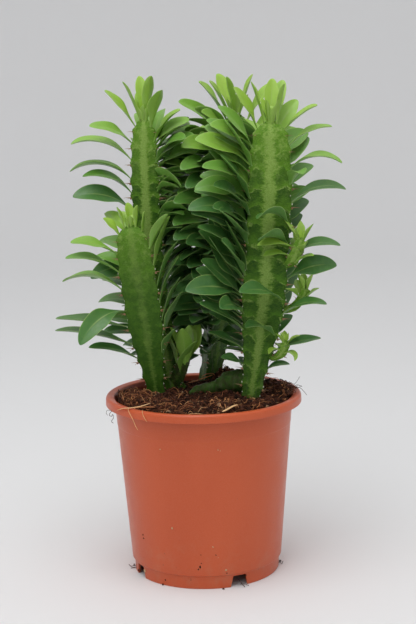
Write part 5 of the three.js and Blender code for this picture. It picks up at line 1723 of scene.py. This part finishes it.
def cutters():
    made = Gathered()
    wide, slim = NOTCH_FOOT_WIDTH / 2, NOTCH_TOP_WIDTH / 2
    outline = ((-wide, -1), (wide, -1), (slim, NOTCH_HEIGHT), (-slim, NOTCH_HEIGHT))
    angles = np.linspace(0, 2 * math.pi, DRAIN_SIDES, endpoint=False)
    circle = [(DRAIN_RADIUS * math.cos(a), DRAIN_RADIUS * math.sin(a)) for a in angles]
    for bearing in NOTCH_BEARINGS:
        front, back = -(FOOT_RADIUS + NOTCH_DEPTH / 2), -(FOOT_RADIUS - NOTCH_DEPTH / 2)
        notch = [(x, y, z) for y in (back, front) for x, z in outline]
        made.add(turned_about(notch, bearing), tube_faces(2, 4))
        for offset in DRAIN_OFFSETS:
            hole = [(x, y - DRAIN_CIRCLE, z) for z in DRAIN_REACH for x, y in circle]
            made.add(turned_about(hole, bearing + offset), tube_faces(2, len(circle)))
    return made


def cut_with(piece, made):
    mesh = bpy.data.meshes.new("cutter")
    mesh.from_pydata(in_frame(np.concatenate(made.points)).tolist(), [], made.faces)
    cutter = bpy.data.objects.new("cutter", mesh)
    bpy.context.scene.collection.objects.link(cutter)
    cut = piece.modifiers.new("cut", "BOOLEAN")
    cut.object, cut.operation, cut.solver = cutter, "DIFFERENCE", "EXACT"
    graph = bpy.context.evaluated_depsgraph_get()
    result = bpy.data.meshes.new_from_object(piece.evaluated_get(graph))
    piece.modifiers.remove(cut)
    piece.data = result
    bpy.data.objects.remove(cutter)
    for edge in result.edges:
        edge.use_edge_sharp = False
    result.polygons.foreach_set("use_smooth", [True] * len(result.polygons))
    result.set_sharp_from_angle(angle=math.radians(SHARP_ANGLE))


cut_with(pot, cutters())
print("pot after the cuts:", len(pot.data.polygons), "faces")

# %% [markdown]
# ## Traces of use
#
# A pot that has been filled and carried about is never quite clean. A few specks of peat and pale fibre stick to
# its wall and its foot ring, some hang in the notches, and a few crumbs have fallen on the floor beside it. Each
# is a small lump, pressed flat and sunk into what it sticks to, at a bearing from the front and a height.

# %% Specks on the wall, in the notches and on the floor
SPECKS = (
    (-24.4, 54.2, 1.1, 1.0), (-52.7, 41.5, 1.2, 0.1), (-52.2, 38.6, 0.8, 0.2), (4.6, 38.5, 1.0, 1.0),
    (-4.1, 31.5, 0.9, 0.45), (6.6, 31.1, 0.9, 0.4), (8.3, 28.6, 0.7, 1.0), (-5.1, 20.7, 1.5, 0.5),
    (-4.0, 24.0, 0.8, 0.3), (-6.3, 18.6, 0.8, 0.5), (13.9, 16.8, 1.0, 1.0), (14.6, 13.9, 0.8, 0.2),
    (-34.1, 4.9, 0.9, 0.1), (-12.5, 7.9, 0.9, 0.1), (-57.8, 6.6, 1.5, 1.0), (-29.2, 123.1, 0.7, 1.0),
    (8.6, 123.8, 0.8, 1.0), (10.1, 122.9, 0.7, 1.0), (31.2, 8.4, 1.2, 0.1), (-70.5, 3.0, 1.4, 0.3),
    (140, 46, 1.1, 0.1), (170, 88, 0.8, 0.9), (-150, 30, 1.2, 0.2), (100, 64, 0.8, 0.9), (-110, 104, 0.7, 0.2),
    (200, 18, 1.3, 0.1),
)
FLOOR_CRUMBS = ((-64.9, -2.1, 1.2), (13.6, -65.0, 1.1), (64.8, 0.3, 1.3), (-38.2, -52.6, 1.0))
WALL_FLATNESS = 0.45


def speck(bearing, height, size):
    angle = math.radians(bearing)
    radius = FOOT_RADIUS + DRAFT / 2 if height < FOOT_HEIGHT else body_radius(height)
    out = np.array((math.sin(angle), -math.cos(angle), 0))
    shape = lump(np.zeros(3), size)
    return shape - out * (shape @ out)[:, None] * (1 - WALL_FLATNESS) + out * radius + UP * height


specks = Gathered()
for bearing, height, size, tone in SPECKS:
    specks.add(speck(bearing, height, size), CORNER_FACES, tone=tone)
for x, y, size in FLOOR_CRUMBS:
    crumb = lump(np.array((x, y, 0.0)), size)
    specks.add(crumb - UP * crumb[:, 2].min(), CORNER_FACES, tone=0.4)
specks.piece("soil_specks", crumb_finish.material, "peat")

# %% [markdown]
# ## Size
#
# Last, we compare the dressed plant with the construction model. Both boxes are gathered as plain numbers, and
# the print shows how far the fine pieces reach past the plan's box on each side.

# %% Sizes and finish
visual_low, visual_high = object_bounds()
sizes = {
    "cad": {"low": [float(v) for v in cad_low], "high": [float(v) for v in cad_high]},
    "visual": {"low": [float(v) for v in visual_low], "high": [float(v) for v in visual_high]},
}
print("growth in mm, low", [round((v - c) * 1000, 1) for v, c in zip(visual_low, cad_low)],
      "high", [round((v - c) * 1000, 1) for v, c in zip(visual_high, cad_high)])
